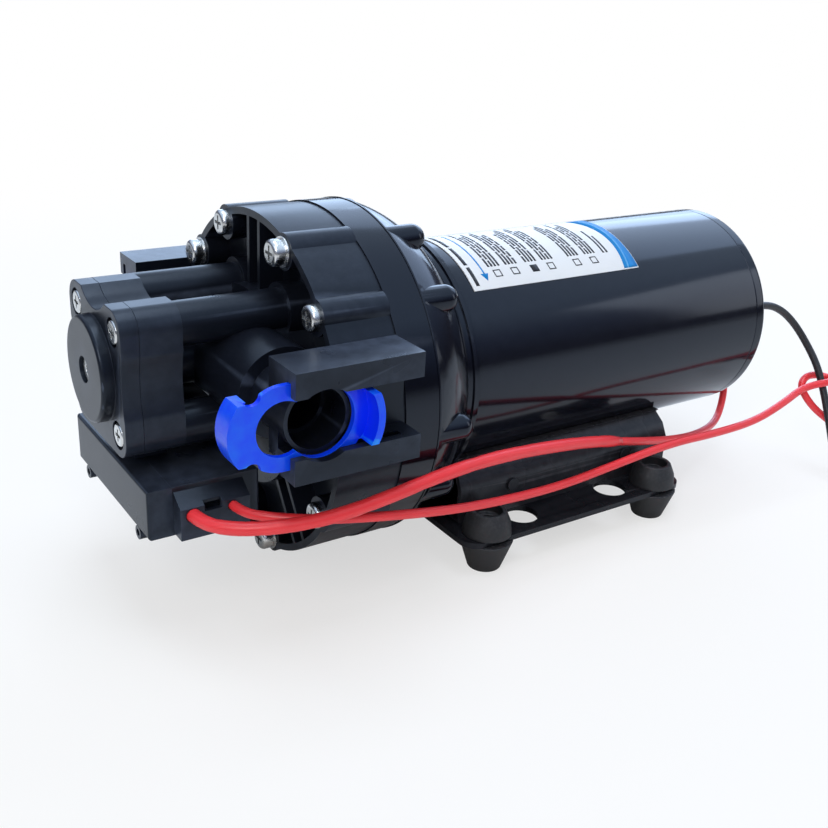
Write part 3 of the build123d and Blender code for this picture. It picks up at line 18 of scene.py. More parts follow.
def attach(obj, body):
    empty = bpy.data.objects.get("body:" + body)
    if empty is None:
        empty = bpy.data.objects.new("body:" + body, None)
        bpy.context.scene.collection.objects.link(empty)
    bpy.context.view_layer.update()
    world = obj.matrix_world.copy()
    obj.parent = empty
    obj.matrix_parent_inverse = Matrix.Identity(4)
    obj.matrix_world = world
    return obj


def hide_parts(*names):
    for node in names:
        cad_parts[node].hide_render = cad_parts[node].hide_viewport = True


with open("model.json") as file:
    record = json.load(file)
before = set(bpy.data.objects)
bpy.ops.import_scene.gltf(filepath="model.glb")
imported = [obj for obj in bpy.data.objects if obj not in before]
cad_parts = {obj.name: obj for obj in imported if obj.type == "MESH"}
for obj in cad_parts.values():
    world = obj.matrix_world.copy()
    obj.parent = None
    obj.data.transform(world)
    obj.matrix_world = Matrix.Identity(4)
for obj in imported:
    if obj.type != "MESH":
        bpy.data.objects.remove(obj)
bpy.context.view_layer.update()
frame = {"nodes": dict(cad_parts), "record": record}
solids = frame["nodes"]

# %% [markdown]
# ## The places on the pump
# Every place is easiest to give as the maker would: the distance along the shaft from the
# seam between pump head and drive housing, the side, and the height above the shaft, in
# millimetres. One helper turns that into the frame's metres. Writing metres everywhere
# would work too, but the numbers would no longer read like the drawing.

# %% From the maker's measures to metres
SEAM_X = -83.0
SHAFT_Z = 63.0
MM = 0.001


def on_pump(distance, y, height):
    """A point of the pump, from millimetres along, across and above the shaft."""
    return Vector(((distance + SEAM_X) * MM, y * MM, (height + SHAFT_Z) * MM))


print("seam centre", on_pump(0, 0, 0))

# %% [markdown]
# ## The camera
# The picture was taken from a little above, close to the switch end, so the pump head
# looms and the motor runs away to the right. The place, the turn and the lens were worked
# out from the corners of the pump whose sizes are known. A longer lens would flatten the
# difference in size between head and motor.

# %% Set the camera
CAMERA_PLACE = (-0.2431, -0.28744, 0.1908)
TURN, LOOK_DOWN, ROLL = -35.145, 23.339, 3.38
SENSOR_WIDTH, LENS = 36.0, 45.55
NEAREST_SEEN = 0.01
camera_data = bpy.data.cameras.new("studio_camera")
camera_data.sensor_width = SENSOR_WIDTH
camera_data.lens = LENS
camera = bpy.data.objects.new("studio_camera", camera_data)
bpy.context.scene.collection.objects.link(camera)
camera.matrix_world = (
    Matrix.Translation(CAMERA_PLACE)
    @ Matrix.Rotation(math.radians(TURN), 4, "Z")
    @ Matrix.Rotation(math.radians(90 - LOOK_DOWN), 4, "X")
    @ Matrix.Rotation(math.radians(ROLL), 4, "Z")
)
camera_data.clip_start = NEAREST_SEEN
bpy.context.scene.camera = camera
print("camera at", CAMERA_PLACE, "lens", LENS)

# %% [markdown]
# ## The leads
# Two red leads come out of the switch hood and run past the near side of the pump, and a
# black one leaves the motor's rear end. Each is one length of stranded wire in soft
# insulation, so each is one NURBS curve with a round section. Its control points are the
# route's own points. The order and the end rule are set after the points are added,
# because set before them they leave the curve at straight runs. The lead's radius is
# given at the points and the section's own size is one, so that Blender's box round the
# curve is the lead's real box.

# %% Routes of the leads
THICK_RED_ROUTE = [
    (-58.9, -33.0, -21.6), (-58.9, -42.0, -21.6), (-51.5, -50.5, -21.4),
    (-40.0, -57.0, -20.2), (-26.0, -61.0, -18.8), (-8.0, -62.0, -16.2),
    (12.0, -60.5, -14.2), (31.0, -58.5, -14.4), (52.0, -55.5, -16.8),
    (84.0, -50.5, -22.6), (116.0, -45.2, -31.9), (144.6, -38.4, -39.5),
    (167.2, -30.8, -44.2), (184.5, -22.8, -46.2), (192.2, -18.4, -40.6),
    (194.4, -16.2, -32.2), (187.6, -16.0, -27.0), (179.8, -16.0, -27.0),
]
THIN_RED_ROUTE = [
    (-46.5, -33.0, -21.4), (-46.5, -41.5, -21.4), (-40.0, -49.0, -21.2),
    (-29.0, -55.5, -21.6), (-14.0, -58.8, -23.2), (3.0, -59.0, -26.3),
    (22.0, -57.0, -30.4), (45.0, -54.0, -34.2), (70.0, -52.0, -36.1),
    (97.0, -52.0, -33.6), (122.0, -53.0, -30.6), (146.0, -54.0, -31.0),
    (168.0, -54.0, -30.4), (186.0, -52.5, -26.8), (198.0, -50.5, -24.0),
    (205.6, -51.6, -22.6), (210.8, -54.8, -21.2), (216.6, -53.8, -21.6),
    (218.8, -49.0, -22.6), (215.6, -44.6, -22.2), (210.4, -43.4, -22.8),
    (206.6, -44.8, -26.0), (207.4, -48.4, -30.4), (210.6, -51.6, -34.9),
    (215.0, -56.2, -39.0), (218.2, -60.8, -43.2),
]
BLACK_ROUTE = [
    (178.2, -33.3, 8.8), (188.8, -33.3, 8.8), (198.8, -34.0, 5.2),
    (206.4, -36.2, -1.2), (210.6, -40.8, -9.0), (212.2, -46.8, -17.0),
    (212.2, -52.2, -26.4), (211.4, -57.6, -36.4), (210.9, -61.8, -45.4),
]
LEAD_DIAMETER = 3.0 * MM
LEAD_STEPS, LEAD_SECTION_STEPS = 10, 5
print("route points", len(THICK_RED_ROUTE), len(THIN_RED_ROUTE), len(BLACK_ROUTE))

# %% A lead from its route


def make_lead(name, route, diameter):
    """One lead: an open NURBS curve with a round section, along its route."""
    curve = bpy.data.curves.new(name, "CURVE")
    curve.dimensions = "3D"
    spline = curve.splines.new("NURBS")
    spline.points.add(len(route) - 1)
    for point, place in zip(spline.points, route):
        point.co = (*on_pump(*place), 1.0)
        point.radius = diameter / 2
    spline.order_u = 3
    spline.use_endpoint_u = True
    curve.resolution_u = LEAD_STEPS
    curve.bevel_depth = 1.0
    curve.bevel_resolution = LEAD_SECTION_STEPS
    curve.use_fill_caps = True
    lead = bpy.data.objects.new(name, curve)
    bpy.context.scene.collection.objects.link(lead)
    return lead


thick_red = make_lead("thick_red_insulation", THICK_RED_ROUTE, LEAD_DIAMETER)
thin_red = make_lead("thin_red_insulation", THIN_RED_ROUTE, LEAD_DIAMETER)
black_lead = make_lead("black_lead_insulation", BLACK_ROUTE, LEAD_DIAMETER)
for lead, node in ((thick_red, "thick_red_lead"), (thin_red, "thin_red_lead"),
                   (black_lead, "black_lead")):
    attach(lead, "pump_body")
    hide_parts(node)
    print(lead.name, "stands for", node)

# %% [markdown]
# ## Tubes that follow a lead
# The sleeve over the thick lead and the bare strands at the stripped ends follow the
# leads, so their points are read from the leads' own curves. A tube is a row of rings,
# each square to the line. The rings' turn is carried from one to the next, because a
# turn worked out afresh at each ring would twist the tube where the line bends.

# %% Read a lead's line, and lay a tube along a line


def lead_line(lead):
    """The points of a lead's own smooth line, without its round section."""
    bare = lead.data.copy()
    bare.bevel_depth = 0.0
    probe = bpy.data.objects.new("line_probe", bare)
    mesh = bpy.data.meshes.new_from_object(probe)
    points = [vertex.co.copy() for vertex in mesh.vertices]
    bpy.data.objects.remove(probe)
    bpy.data.meshes.remove(mesh)
    bpy.data.curves.remove(bare)
    return points


def ring_frames(points):
    """Two directions square to the line at each point, carried along without twist."""
    frames, across = [], None
    for i, point in enumerate(points):
        ahead = points[min(i + 1, len(points) - 1)] - points[max(i - 1, 0)]
        ahead.normalize()
        if across is None:
            across = ahead.orthogonal().normalized()
        across = (across - ahead * across.dot(ahead)).normalized()
        frames.append((across.copy(), ahead.cross(across)))
    return frames


def add_tube(mesh, points, radii, sides):
    """Adds a closed tube to a bmesh, with one radius for each point."""
    rings = []
    for point, radius, (across, up) in zip(points, radii, ring_frames(points)):
        turns = [2 * math.pi * k / sides for k in range(sides)]
        ring = [point + radius * (math.cos(t) * across + math.sin(t) * up) for t in turns]
        rings.append([mesh.verts.new(place) for place in ring])
    for low, high in zip(rings, rings[1:]):
        for k in range(sides):
            after = (k + 1) % sides
            mesh.faces.new((low[k], low[after], high[after], high[k]))
    mesh.faces.new(list(reversed(rings[0])))
    mesh.faces.new(rings[-1])


def finish_piece(name, mesh, body):
    """Turns a bmesh into a named, smooth-shaded piece that rides a body."""
    data = bpy.data.meshes.new(name)
    bmesh.ops.recalc_face_normals(mesh, faces=mesh.faces)
    mesh.to_mesh(data)
    mesh.free()
    for face in data.polygons:
        face.use_smooth = True
    piece = bpy.data.objects.new(name, data)
    bpy.context.scene.collection.objects.link(piece)
    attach(piece, body)
    return piece


print("thick lead's line has", len(lead_line(thick_red)), "points")

# %% [markdown]
# ## The sleeve
# A soft sleeve of 4.2 mm covers the first 176 mm of the thick lead. It was pushed over the
# lead and shrunk, so it hugs the lead with slight waves and closes in at its far end. A
# plain tube would look like a second pipe, so its radius changes a little along the way.

# %% Make the sleeve
SLEEVE_DIAMETER = 4.2 * MM
SLEEVE_SIDES = 20
LAST_COVERED, FIRST_BARE = 9, 10
WAVES = ((0.035, 0.55, 0), (0.02, 1.7, 1))
CLOSING_SHARE, CLOSING_RINGS = 0.24, 2.0
sleeve_end = (on_pump(*THICK_RED_ROUTE[LAST_COVERED])
              + on_pump(*THICK_RED_ROUTE[FIRST_BARE])) / 2
line = lead_line(thick_red)
last = min(range(len(line)), key=lambda i: (line[i] - sleeve_end).length)
sleeve_line = line[: last + 1]
sleeve_radii = []
for i in range(len(sleeve_line)):
    wave = sum(depth * math.sin(i * pace + start) for depth, pace, start in WAVES)
    rings_left = len(sleeve_line) - 1 - i
    closing = CLOSING_SHARE * max(0.0, 1 - rings_left / CLOSING_RINGS)
    sleeve_radii.append(SLEEVE_DIAMETER / 2 * (1 + min(wave, 0.0) - closing))
mesh = bmesh.new()
add_tube(mesh, sleeve_line, sleeve_radii, SLEEVE_SIDES)
sleeve = finish_piece("red_sleeve", mesh, "pump_body")
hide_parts("lead_sleeve")
print("sleeve has", len(sleeve_line), "rings")

# %% [markdown]
# ## The stripped ends
# The thin red lead and the black one are wired to the supply, so their ends are stripped.
# Six millimetres of bare strands stand out of the insulation: one in the middle and six
# twisted round it, cut by hand, so their lengths differ a little.

# %% Make the strands
STRIPPED_LENGTH = 6.0 * MM
STRAND_RADIUS = 0.28 * MM
STRAND_SIDES, STRAND_STEPS = 8, 10
OUTER_STRANDS = 6
OUTER_SPACING = 2.05
TWIST = 2.6
ROOT_DEPTH = 1.5 * MM
SHORTEST_SHARE, CUT_SPREAD = 0.93, 0.07


def make_strands(name, lead):
    """The bare strands at a lead's far end, rooted a little way inside it."""
    points = lead_line(lead)
    end, ahead = points[-1], (points[-1] - points[-2]).normalized()
    across = ahead.orthogonal().normalized()
    up = ahead.cross(across)
    mesh = bmesh.new()
    for k in range(OUTER_STRANDS + 1):
        out = 0.0 if k == 0 else OUTER_SPACING * STRAND_RADIUS
        uneven = (k * 5) % (OUTER_STRANDS + 1)
        reach = STRIPPED_LENGTH * (SHORTEST_SHARE + CUT_SPREAD * uneven / OUTER_STRANDS)
        strand = []
        for i in range(STRAND_STEPS + 1):
            share = i / STRAND_STEPS
            turn = 2 * math.pi * k / OUTER_STRANDS + TWIST * share
            strand.append(end + ahead * (reach * share - ROOT_DEPTH * (1 - share))
                          + out * (math.cos(turn) * across + math.sin(turn) * up))
        add_tube(mesh, strand, [STRAND_RADIUS] * len(strand), STRAND_SIDES)
    return finish_piece(name, mesh, "pump_body")


thin_strands = make_strands("thin_red_strands", thin_red)
black_strands = make_strands("black_lead_strands", black_lead)
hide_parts("stripped_lead_ends")
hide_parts("stripped_lead_ends")
print("strands", len(thin_strands.data.vertices), "vertices at each end")

lead_slots = ((thick_red, "red_insulation"), (thin_red, "red_insulation"),
              (black_lead, "black_insulation"))

# %% [markdown]
# ## The studio floor and the surroundings
# The pump stands on a plain white floor that runs out of sight. The floor keeps the
# pump's shadow, so it is a real surface under the lamps and not a picture of white. The
# world behind it is white for the camera and gives a soft, even light. What the glossy
# parts mirror is a sky of its own: dark at eye level and cool and bright overhead, which
# draws the upward faces apart from the upright ones. A plain white world would lay the
# same grey veil on all of them.

# %% Floor
FLOOR_HALF, FLOOR_CELLS = 4.0, 4
mesh = bmesh.new()
bmesh.ops.create_grid(mesh, x_segments=FLOOR_CELLS, y_segments=FLOOR_CELLS, size=FLOOR_HALF)
floor_data = bpy.data.meshes.new("studio_floor")
mesh.to_mesh(floor_data)
mesh.free()
floor = bpy.data.objects.new("studio_floor", floor_data)
bpy.context.scene.collection.objects.link(floor)
print("floor", 2 * FLOOR_HALF, "m wide")

# %% Helpers for shader nodes


def set_values(node, values):
    """Sets constant inputs of a node; names use _ for spaces."""
    for label, value in values.items():
        node.inputs[label.replace("_", " ")].default_value = value


def shader_node(tree, kind, **values):
    """A new node of a kind in a tree, with its constant values."""
    node = tree.nodes.new("ShaderNode" + kind)
    set_values(node, values)
    return node


def connect(tree, *pairs):
    """Links each pair of sockets, from the first one to the second."""
    for source, target in pairs:
        tree.links.new(source, target)


print("node helpers ready")

# %% Floor paint, which fades to plain white away from the pump
FADE_START, FADE_END = 0.22, 0.60
FLOOR_LIFT = 0.62
FLOOR_DARK, FLOOR_LIGHT = (0.93, 0.915, 0.89, 1), (0.96, 0.945, 0.92, 1)
FLOOR_CLOUD_SCALE = 3.0
FLOOR_GLOSS = {"Roughness": 0.75, "Specular_IOR_Level": 0.15}
floor_paint = bpy.data.materials.new("white_floor_paint")
floor_paint.use_nodes = True
tree = floor_paint.node_tree
paint, output = tree.nodes["Principled BSDF"], tree.nodes["Material Output"]
set_values(paint, FLOOR_GLOSS)
mottle = shader_node(tree, "TexNoise", Scale=FLOOR_CLOUD_SCALE)
shade = shader_node(tree, "ValToRGB")
for stop, colour in zip(shade.color_ramp.elements, (FLOOR_DARK, FLOOR_LIGHT)):
    stop.color = colour
lift = shader_node(tree, "Emission", Strength=1.0)
with_lift = shader_node(tree, "MixShader", Fac=FLOOR_LIFT)
far_white = shader_node(tree, "Emission", Strength=1.0)
where = shader_node(tree, "TexCoord")
how_far = shader_node(tree, "VectorMath")
how_far.operation = "LENGTH"
fade = shader_node(tree, "MapRange", From_Min=FADE_START, From_Max=FADE_END)
fade.interpolation_type = "SMOOTHSTEP"
near_or_far = shader_node(tree, "MixShader")
seen = shader_node(tree, "LightPath")
plain_or_lifted = shader_node(tree, "MixShader")
connect(
    tree,
    (mottle.outputs["Fac"], shade.inputs["Fac"]),
    (shade.outputs["Color"], paint.inputs["Base Color"]),
    (paint.outputs[0], with_lift.inputs[1]),
    (lift.outputs[0], with_lift.inputs[2]),
    (where.outputs["Object"], how_far.inputs[0]),
    (how_far.outputs["Value"], fade.inputs["Value"]),
    (fade.outputs["Result"], near_or_far.inputs["Fac"]),
    (with_lift.outputs[0], near_or_far.inputs[1]),
    (far_white.outputs[0], near_or_far.inputs[2]),
    (seen.outputs["Is Camera Ray"], plain_or_lifted.inputs["Fac"]),
    (paint.outputs[0], plain_or_lifted.inputs[1]),
    (near_or_far.outputs[0], plain_or_lifted.inputs[2]),
    (plain_or_lifted.outputs[0], output.inputs["Surface"]),
)
floor_data.materials.append(floor_paint)
print("floor fades from", FADE_START, "to", FADE_END, "m")

# %% The world
WORLD_LIGHT, WORLD_COLOUR = 0.30, (0.93, 0.96, 1.0, 1)
MIRROR_STRENGTH = 1.25
MIRRORED_SKY = ((0.44, (0.05, 0.05, 0.06)), (0.54, (0.06, 0.06, 0.08)),
                (0.66, (0.20, 0.25, 0.38)), (0.80, (0.62, 0.78, 1.0)))
world = bpy.data.worlds.new("studio_world")
bpy.context.scene.world = world
world.use_nodes = True
tree = world.node_tree
tree.nodes.clear()
path = shader_node(tree, "LightPath")
soft = shader_node(tree, "Background", Color=WORLD_COLOUR, Strength=WORLD_LIGHT)
white = shader_node(tree, "Background", Color=(1, 1, 1, 1))
direction = shader_node(tree, "TexCoord")
parts = shader_node(tree, "SeparateXYZ")
height = shader_node(tree, "MapRange", From_Min=-1.0)
sky = shader_node(tree, "ValToRGB")
for i, (place, colour) in enumerate(MIRRORED_SKY):
    stop = sky.color_ramp.elements[0] if i == 0 else sky.color_ramp.elements.new(place)
    stop.position, stop.color = place, (*colour, 1)
sky.color_ramp.elements.remove(sky.color_ramp.elements[-1])
mirrored = shader_node(tree, "Background", Strength=MIRROR_STRENGTH)
sky_or_soft = shader_node(tree, "MixShader")
pick = shader_node(tree, "MixShader")
output = shader_node(tree, "OutputWorld")
connect(
    tree,
    (direction.outputs["Generated"], parts.inputs["Vector"]),
    (parts.outputs["Z"], height.inputs["Value"]),
    (height.outputs["Result"], sky.inputs["Fac"]),
    (sky.outputs["Color"], mirrored.inputs["Color"]),
    (path.outputs["Is Glossy Ray"], sky_or_soft.inputs["Fac"]),
    (soft.outputs[0], sky_or_soft.inputs[1]),
    (mirrored.outputs[0], sky_or_soft.inputs[2]),
    (path.outputs["Is Camera Ray"], pick.inputs["Fac"]),
    (sky_or_soft.outputs[0], pick.inputs[1]),
    (white.outputs[0], pick.inputs[2]),
    (pick.outputs[0], output.inputs["Surface"]),
)
bpy.context.scene.view_settings.view_transform = "Standard"
print("world light", WORLD_LIGHT)

# %% [markdown]
# ## The lamps
# The enamelled motor mirrors whatever lights it, so the lamps are soft boxes. A wide cool
# panel beyond the motor's rear end gives the pale sheen along its shoulder, a second one
# behind the pump lights the rim of the head, and both throw the shadow forward. One
# overhead and one at the near left shape the pump head, and a weaker one from the right
# keeps the rear end from going flat black. Point lamps would show as hard dots on every
# screw.

# %% Soft boxes
PUMP_MIDDLE = (0.0, 0.0, 0.06)
# name, place, target, size (all in metres), power in watts, colour
SOFT_BOXES = (
    ("rear_right_panel", (0.98, 0.55, 0.78), PUMP_MIDDLE, (1.3, 0.9), 6.5,
     (0.56, 0.72, 1.0)),
    ("back_panel", (0.62, 0.98, 0.44), PUMP_MIDDLE, (1.2, 0.5), 5.6, (0.56, 0.74, 1.0)),
    ("overhead_box", (-0.05, 0.0, 1.05), PUMP_MIDDLE, (0.8, 0.45), 6.0,
     (0.78, 0.88, 1.0)),
    ("near_left_box", (-0.80, -0.62, 0.80), (-0.05, 0.0, 0.06), (0.4, 0.6), 4.6,
     (1.0, 0.98, 0.96)),
    ("right_box", (0.9, -0.6, 0.40), (0.05, 0.0, 0.06), (0.3, 0.5), 0.8,
     (0.94, 0.96, 1.0)),
)
for name, place, target, size, power, colour in SOFT_BOXES:
    lamp = bpy.data.lights.new(name, "AREA")
    lamp.shape = "RECTANGLE"
    lamp.size, lamp.size_y = size
    lamp.energy = power
    lamp.color = colour
    holder = bpy.data.objects.new(name, lamp)
    bpy.context.scene.collection.objects.link(holder)
    aim = Vector(target) - Vector(place)
    holder.matrix_world = (Matrix.Translation(place)
                           @ aim.to_track_quat("-Z", "Y").to_matrix().to_4x4())
print("lamps:", len(SOFT_BOXES))

# %% [markdown]
# ## Shared surface effects
# Several finishes need the same small effects: the fine mottle of a moulding, a lighter
# colour along edges, dust on upward faces, and the fine lines of worked metal. The edge
# colour is rubbing on most finishes and a painted edge highlight on the plastics. Each is
# one node group with named inputs, placed in each material with its own values, so that
# a change to the effect reaches every finish that uses it.

# %% Helpers for the effects


def open_group(name, inputs, outputs):
    """A new shader node group with float inputs and named outputs."""
    group = bpy.data.node_groups.new(name, "ShaderNodeTree")
    for label, value in inputs:
        socket = group.interface.new_socket(label, in_out="INPUT",
                                            socket_type="NodeSocketFloat")
        socket.default_value = value
    for label in outputs:
        group.interface.new_socket(label, in_out="OUTPUT", socket_type="NodeSocketFloat")
    return group, group.nodes.new("NodeGroupInput"), group.nodes.new("NodeGroupOutput")


def noise_node(group, scale_from, detail, stretch=None):
    """A noise in the object's own coordinates, whose scale comes from a socket."""
    source = shader_node(group, "TexCoord").outputs["Object"]
    noise = shader_node(group, "TexNoise", Detail=detail)
    if stretch:
        mapping = shader_node(group, "Mapping", Scale=stretch)
        connect(group, (source, mapping.inputs["Vector"]))
        source = mapping.outputs["Vector"]
    connect(group, (source, noise.inputs["Vector"]), (scale_from, noise.inputs["Scale"]))
    return noise


def maths(group, operation, first, second, clamp=False):
    """One maths node; each value may be a number or a socket."""
    node = shader_node(group, "Math")
    node.operation = operation
    node.use_clamp = clamp
    for slot_in, value in zip(node.inputs, (first, second)):
        if isinstance(value, (int, float)):
            slot_in.default_value = value
        else:
            connect(group, (value, slot_in))
    return node.outputs[0]


print("group helpers ready")

# %% Mottle and grain of a moulding
CLOUD_HEIGHT = 0.35
mottle_group, values, result = open_group(
    "moulded_mottle",
    [("Cloud Scale", 60.0), ("Grain Scale", 2500.0), ("Grain Share", 0.5)],
    ["Mottle", "Height"])
clouds = noise_node(mottle_group, values.outputs["Cloud Scale"], detail=3.0)
grain = noise_node(mottle_group, values.outputs["Grain Scale"], detail=2.0)
scaled = maths(mottle_group, "MULTIPLY", grain.outputs["Fac"],
               values.outputs["Grain Share"])
height = maths(mottle_group, "ADD", scaled,
               maths(mottle_group, "MULTIPLY", clouds.outputs["Fac"], CLOUD_HEIGHT))
connect(mottle_group, (clouds.outputs["Fac"], result.inputs["Mottle"]),
        (height, result.inputs["Height"]))

# %% Edge wear, and a painted edge highlight
EDGE_GAIN = 12.0
# A mask of sharp edges, broken up. On the blue plastic its lighter colour is a painted edge
# highlight, and on the black plastic it is both rubbing and painted highlight. Elsewhere it
# is rubbing, and on zinc a stain.
edge_group, values, result = open_group(
    "edge_wear_and_highlight", [("Reach", 0.52), ("Strength", 0.6), ("Break Scale", 300.0)], ["Wear"])
shape = shader_node(edge_group, "NewGeometry")
breaks = noise_node(edge_group, values.outputs["Break Scale"], detail=4.0)
edge = maths(edge_group, "SUBTRACT", shape.outputs["Pointiness"], values.outputs["Reach"])
edge = maths(edge_group, "MULTIPLY", edge, EDGE_GAIN, clamp=True)
edge = maths(edge_group, "MULTIPLY", edge, breaks.outputs["Fac"])
edge = maths(edge_group, "MULTIPLY", edge, values.outputs["Strength"], clamp=True)
connect(edge_group, (edge, result.inputs["Wear"]))

# %% Settled dust
SPECK_START, SPECK_GAIN = 0.45, 3.0
dust_group, values, result = open_group(
    "settled_dust", [("Amount", 0.15), ("Speck Scale", 900.0)], ["Dust"])
shape = shader_node(dust_group, "NewGeometry")
facing = shader_node(dust_group, "SeparateXYZ")
connect(dust_group, (shape.outputs["Normal"], facing.inputs["Vector"]))
specks = noise_node(dust_group, values.outputs["Speck Scale"], detail=5.0)
speck = maths(dust_group, "SUBTRACT", specks.outputs["Fac"], SPECK_START)
speck = maths(dust_group, "MULTIPLY", speck, SPECK_GAIN, clamp=True)
upward = maths(dust_group, "MULTIPLY", facing.outputs["Z"], values.outputs["Amount"],
               clamp=True)
connect(dust_group, (maths(dust_group, "MULTIPLY", speck, upward), result.inputs["Dust"]))

# %% Fine lines of worked metal
LINE_STRETCH = (0.08, 1.0, 1.0)
lines_group, values, result = open_group(
    "worked_lines", [("Line Scale", 900.0), ("Cloud Scale", 120.0)], ["Lines", "Clouds"])
fine = noise_node(lines_group, values.outputs["Line Scale"], detail=3.0,
                  stretch=LINE_STRETCH)
broad = noise_node(lines_group, values.outputs["Cloud Scale"], detail=3.0)
connect(lines_group, (fine.outputs["Fac"], result.inputs["Lines"]),
        (broad.outputs["Fac"], result.inputs["Clouds"]))
print("effects:", [g.name for g in bpy.data.node_groups])

# %% [markdown]
# ## Finishes
# A finish starts from a Principled shader. One helper makes it, one places an effect,
# one blends two colours by a mask, and one joins colour, gloss and bump to the shader.
# Each kind of finish then has a table of its values. The colours are linear values chosen
# to look right under plain light: the black parts are never pure black, and carry a
# little blue.

# %% Helpers for finishes


def new_finish(name, metallic=0.0, specular=0.5, tint=(1, 1, 1)):
    """A material with a Principled shader and its constant values."""
    material = bpy.data.materials.new(name)
    material.use_nodes = True
    shader = material.node_tree.nodes["Principled BSDF"]
    set_values(shader, {"Metallic": metallic, "Specular_IOR_Level": specular,
                        "Specular_Tint": (*tint, 1)})
    return material, material.node_tree, shader


def place_effect(tree, group, **values):
    """An effect group in a material, with its own values."""
    node = shader_node(tree, "Group")
    node.node_tree = group
    set_values(node, values)
    return node


def blend_colours(tree, mask, low, high):
    """Mixes two colours by a mask; each colour may be a value or a socket."""
    mix = shader_node(tree, "Mix")
    mix.data_type = "RGBA"
    connect(tree, (mask, mix.inputs["Factor"]))
    for label, colour in (("A", low), ("B", high)):
        slot_in = [s for s in mix.inputs if s.name == label and s.type == "RGBA"][0]
        if isinstance(colour, tuple):
            slot_in.default_value = (*colour, 1.0)
        else:
            connect(tree, (colour, slot_in))
    return [s for s in mix.outputs if s.type == "RGBA"][0]


def finish_surface(tree, shader, colour, gloss, roughness, height, depth):
    """Joins a colour, a gloss within two bounds and a bump of a depth to the shader."""
    spread = shader_node(tree, "MapRange", To_Min=roughness[0], To_Max=roughness[1])
    bump = shader_node(tree, "Bump", Distance=depth, Strength=1.0)
    connect(
        tree,
        (colour, shader.inputs["Base Color"]),
        (gloss, spread.inputs["Value"]),
        (spread.outputs["Result"], shader.inputs["Roughness"]),
        (height, bump.inputs["Height"]),
        (bump.outputs["Normal"], shader.inputs["Normal"]),
    )


print("finish helpers ready")

# %% Moulded finishes: plastics, rubber and insulation
DUST_COLOUR = (0.42, 0.42, 0.43)


def moulded_finish(name, dark, light, roughness, grain_depth, grain_scale=2500.0,
                   cloud_scale=60.0, wear_and_highlight_colour=None, wear_and_highlight=0.5, dust=0.1,
                   specular=0.5, tint=(1, 1, 1)):
    """A moulding: two tones in soft clouds, fine grain, a lighter edge colour and a little
    dust.
    """
    material, tree, shader = new_finish(name, specular=specular, tint=tint)
    mottled = place_effect(tree, mottle_group, Cloud_Scale=cloud_scale,
                           Grain_Scale=grain_scale)
    colour = blend_colours(tree, mottled.outputs["Mottle"], dark, light)
    # The edge colour is wear on rubber and insulation, a painted edge highlight on the blue
    # plastic, and both on the black plastic.
    if wear_and_highlight_colour:
        worn_and_lit = place_effect(tree, edge_group, Strength=wear_and_highlight)
        colour = blend_colours(tree, worn_and_lit.outputs["Wear"], colour, wear_and_highlight_colour)
    if dust:
        settled = place_effect(tree, dust_group, Amount=dust)
        colour = blend_colours(tree, settled.outputs["Dust"], colour, DUST_COLOUR)
    finish_surface(tree, shader, colour, mottled.outputs["Mottle"], roughness,
                   mottled.outputs["Height"], grain_depth)
    return material


COOL_SHEEN = (0.72, 0.84, 1.0)
MOULDED = {
    # Its pale bluish edges are partly rubbing and partly a painted edge highlight.
    "black_plastic": dict(
        name="satin_black_moulding", dark=(0.0045, 0.0055, 0.0095),
        light=(0.0080, 0.0100, 0.0165), roughness=(0.24, 0.34), grain_depth=0.00003,
        wear_and_highlight_colour=(0.12, 0.15, 0.22), wear_and_highlight=0.6, dust=0.01, specular=0.28,
        tint=COOL_SHEEN),
    "black_rubber": dict(
        name="matt_black_rubber", dark=(0.009, 0.009, 0.010), light=(0.017, 0.017, 0.019),
        roughness=(0.52, 0.66), grain_depth=0.00004, grain_scale=1800.0,
        wear_and_highlight_colour=(0.09, 0.09, 0.10), wear_and_highlight=0.4, dust=0.10),
    # The clip's cyan edges are a painted rim highlight.
    "blue_plastic": dict(
        name="bright_blue_moulding", dark=(0.001, 0.020, 0.92), light=(0.002, 0.036, 1.0),
        roughness=(0.18, 0.28), grain_depth=0.00002, wear_and_highlight_colour=(0.02, 0.42, 1.0),
        wear_and_highlight=0.9, dust=0.0, specular=0.4, tint=COOL_SHEEN),
    "red_insulation": dict(
        name="red_soft_insulation", dark=(0.80, 0.022, 0.032), light=(0.96, 0.050, 0.060),
        roughness=(0.30, 0.42), grain_depth=0.00003, cloud_scale=110.0,
        wear_and_highlight_colour=(0.95, 0.25, 0.25), wear_and_highlight=0.2, dust=0.0),
    "black_insulation": dict(
        name="black_soft_insulation", dark=(0.010, 0.010, 0.012),
        light=(0.020, 0.020, 0.022), roughness=(0.34, 0.46), grain_depth=0.00003,
        dust=0.05),
    "white_nylon": dict(
        name="natural_nylon", dark=(0.70, 0.69, 0.64), light=(0.80, 0.79, 0.75),
        roughness=(0.38, 0.50), grain_depth=0.00002),
    "card": dict(
        name="brown_laminate", dark=(0.20, 0.11, 0.05), light=(0.32, 0.19, 0.09),
        roughness=(0.55, 0.70), grain_depth=0.00003),
    "carbon": dict(
        name="pressed_carbon", dark=(0.03, 0.03, 0.032), light=(0.07, 0.07, 0.07),
        roughness=(0.40, 0.60), grain_depth=0.00003),
}
finishes = {slot: moulded_finish(**values) for slot, values in MOULDED.items()}
print("moulded finishes:", sorted(finishes))

# %% Enamel and painted sheet
PAINT_CLOUDS, PAINT_GRAIN = 45.0, 700.0
PAINT_DUST_COLOUR = (0.4, 0.4, 0.42)


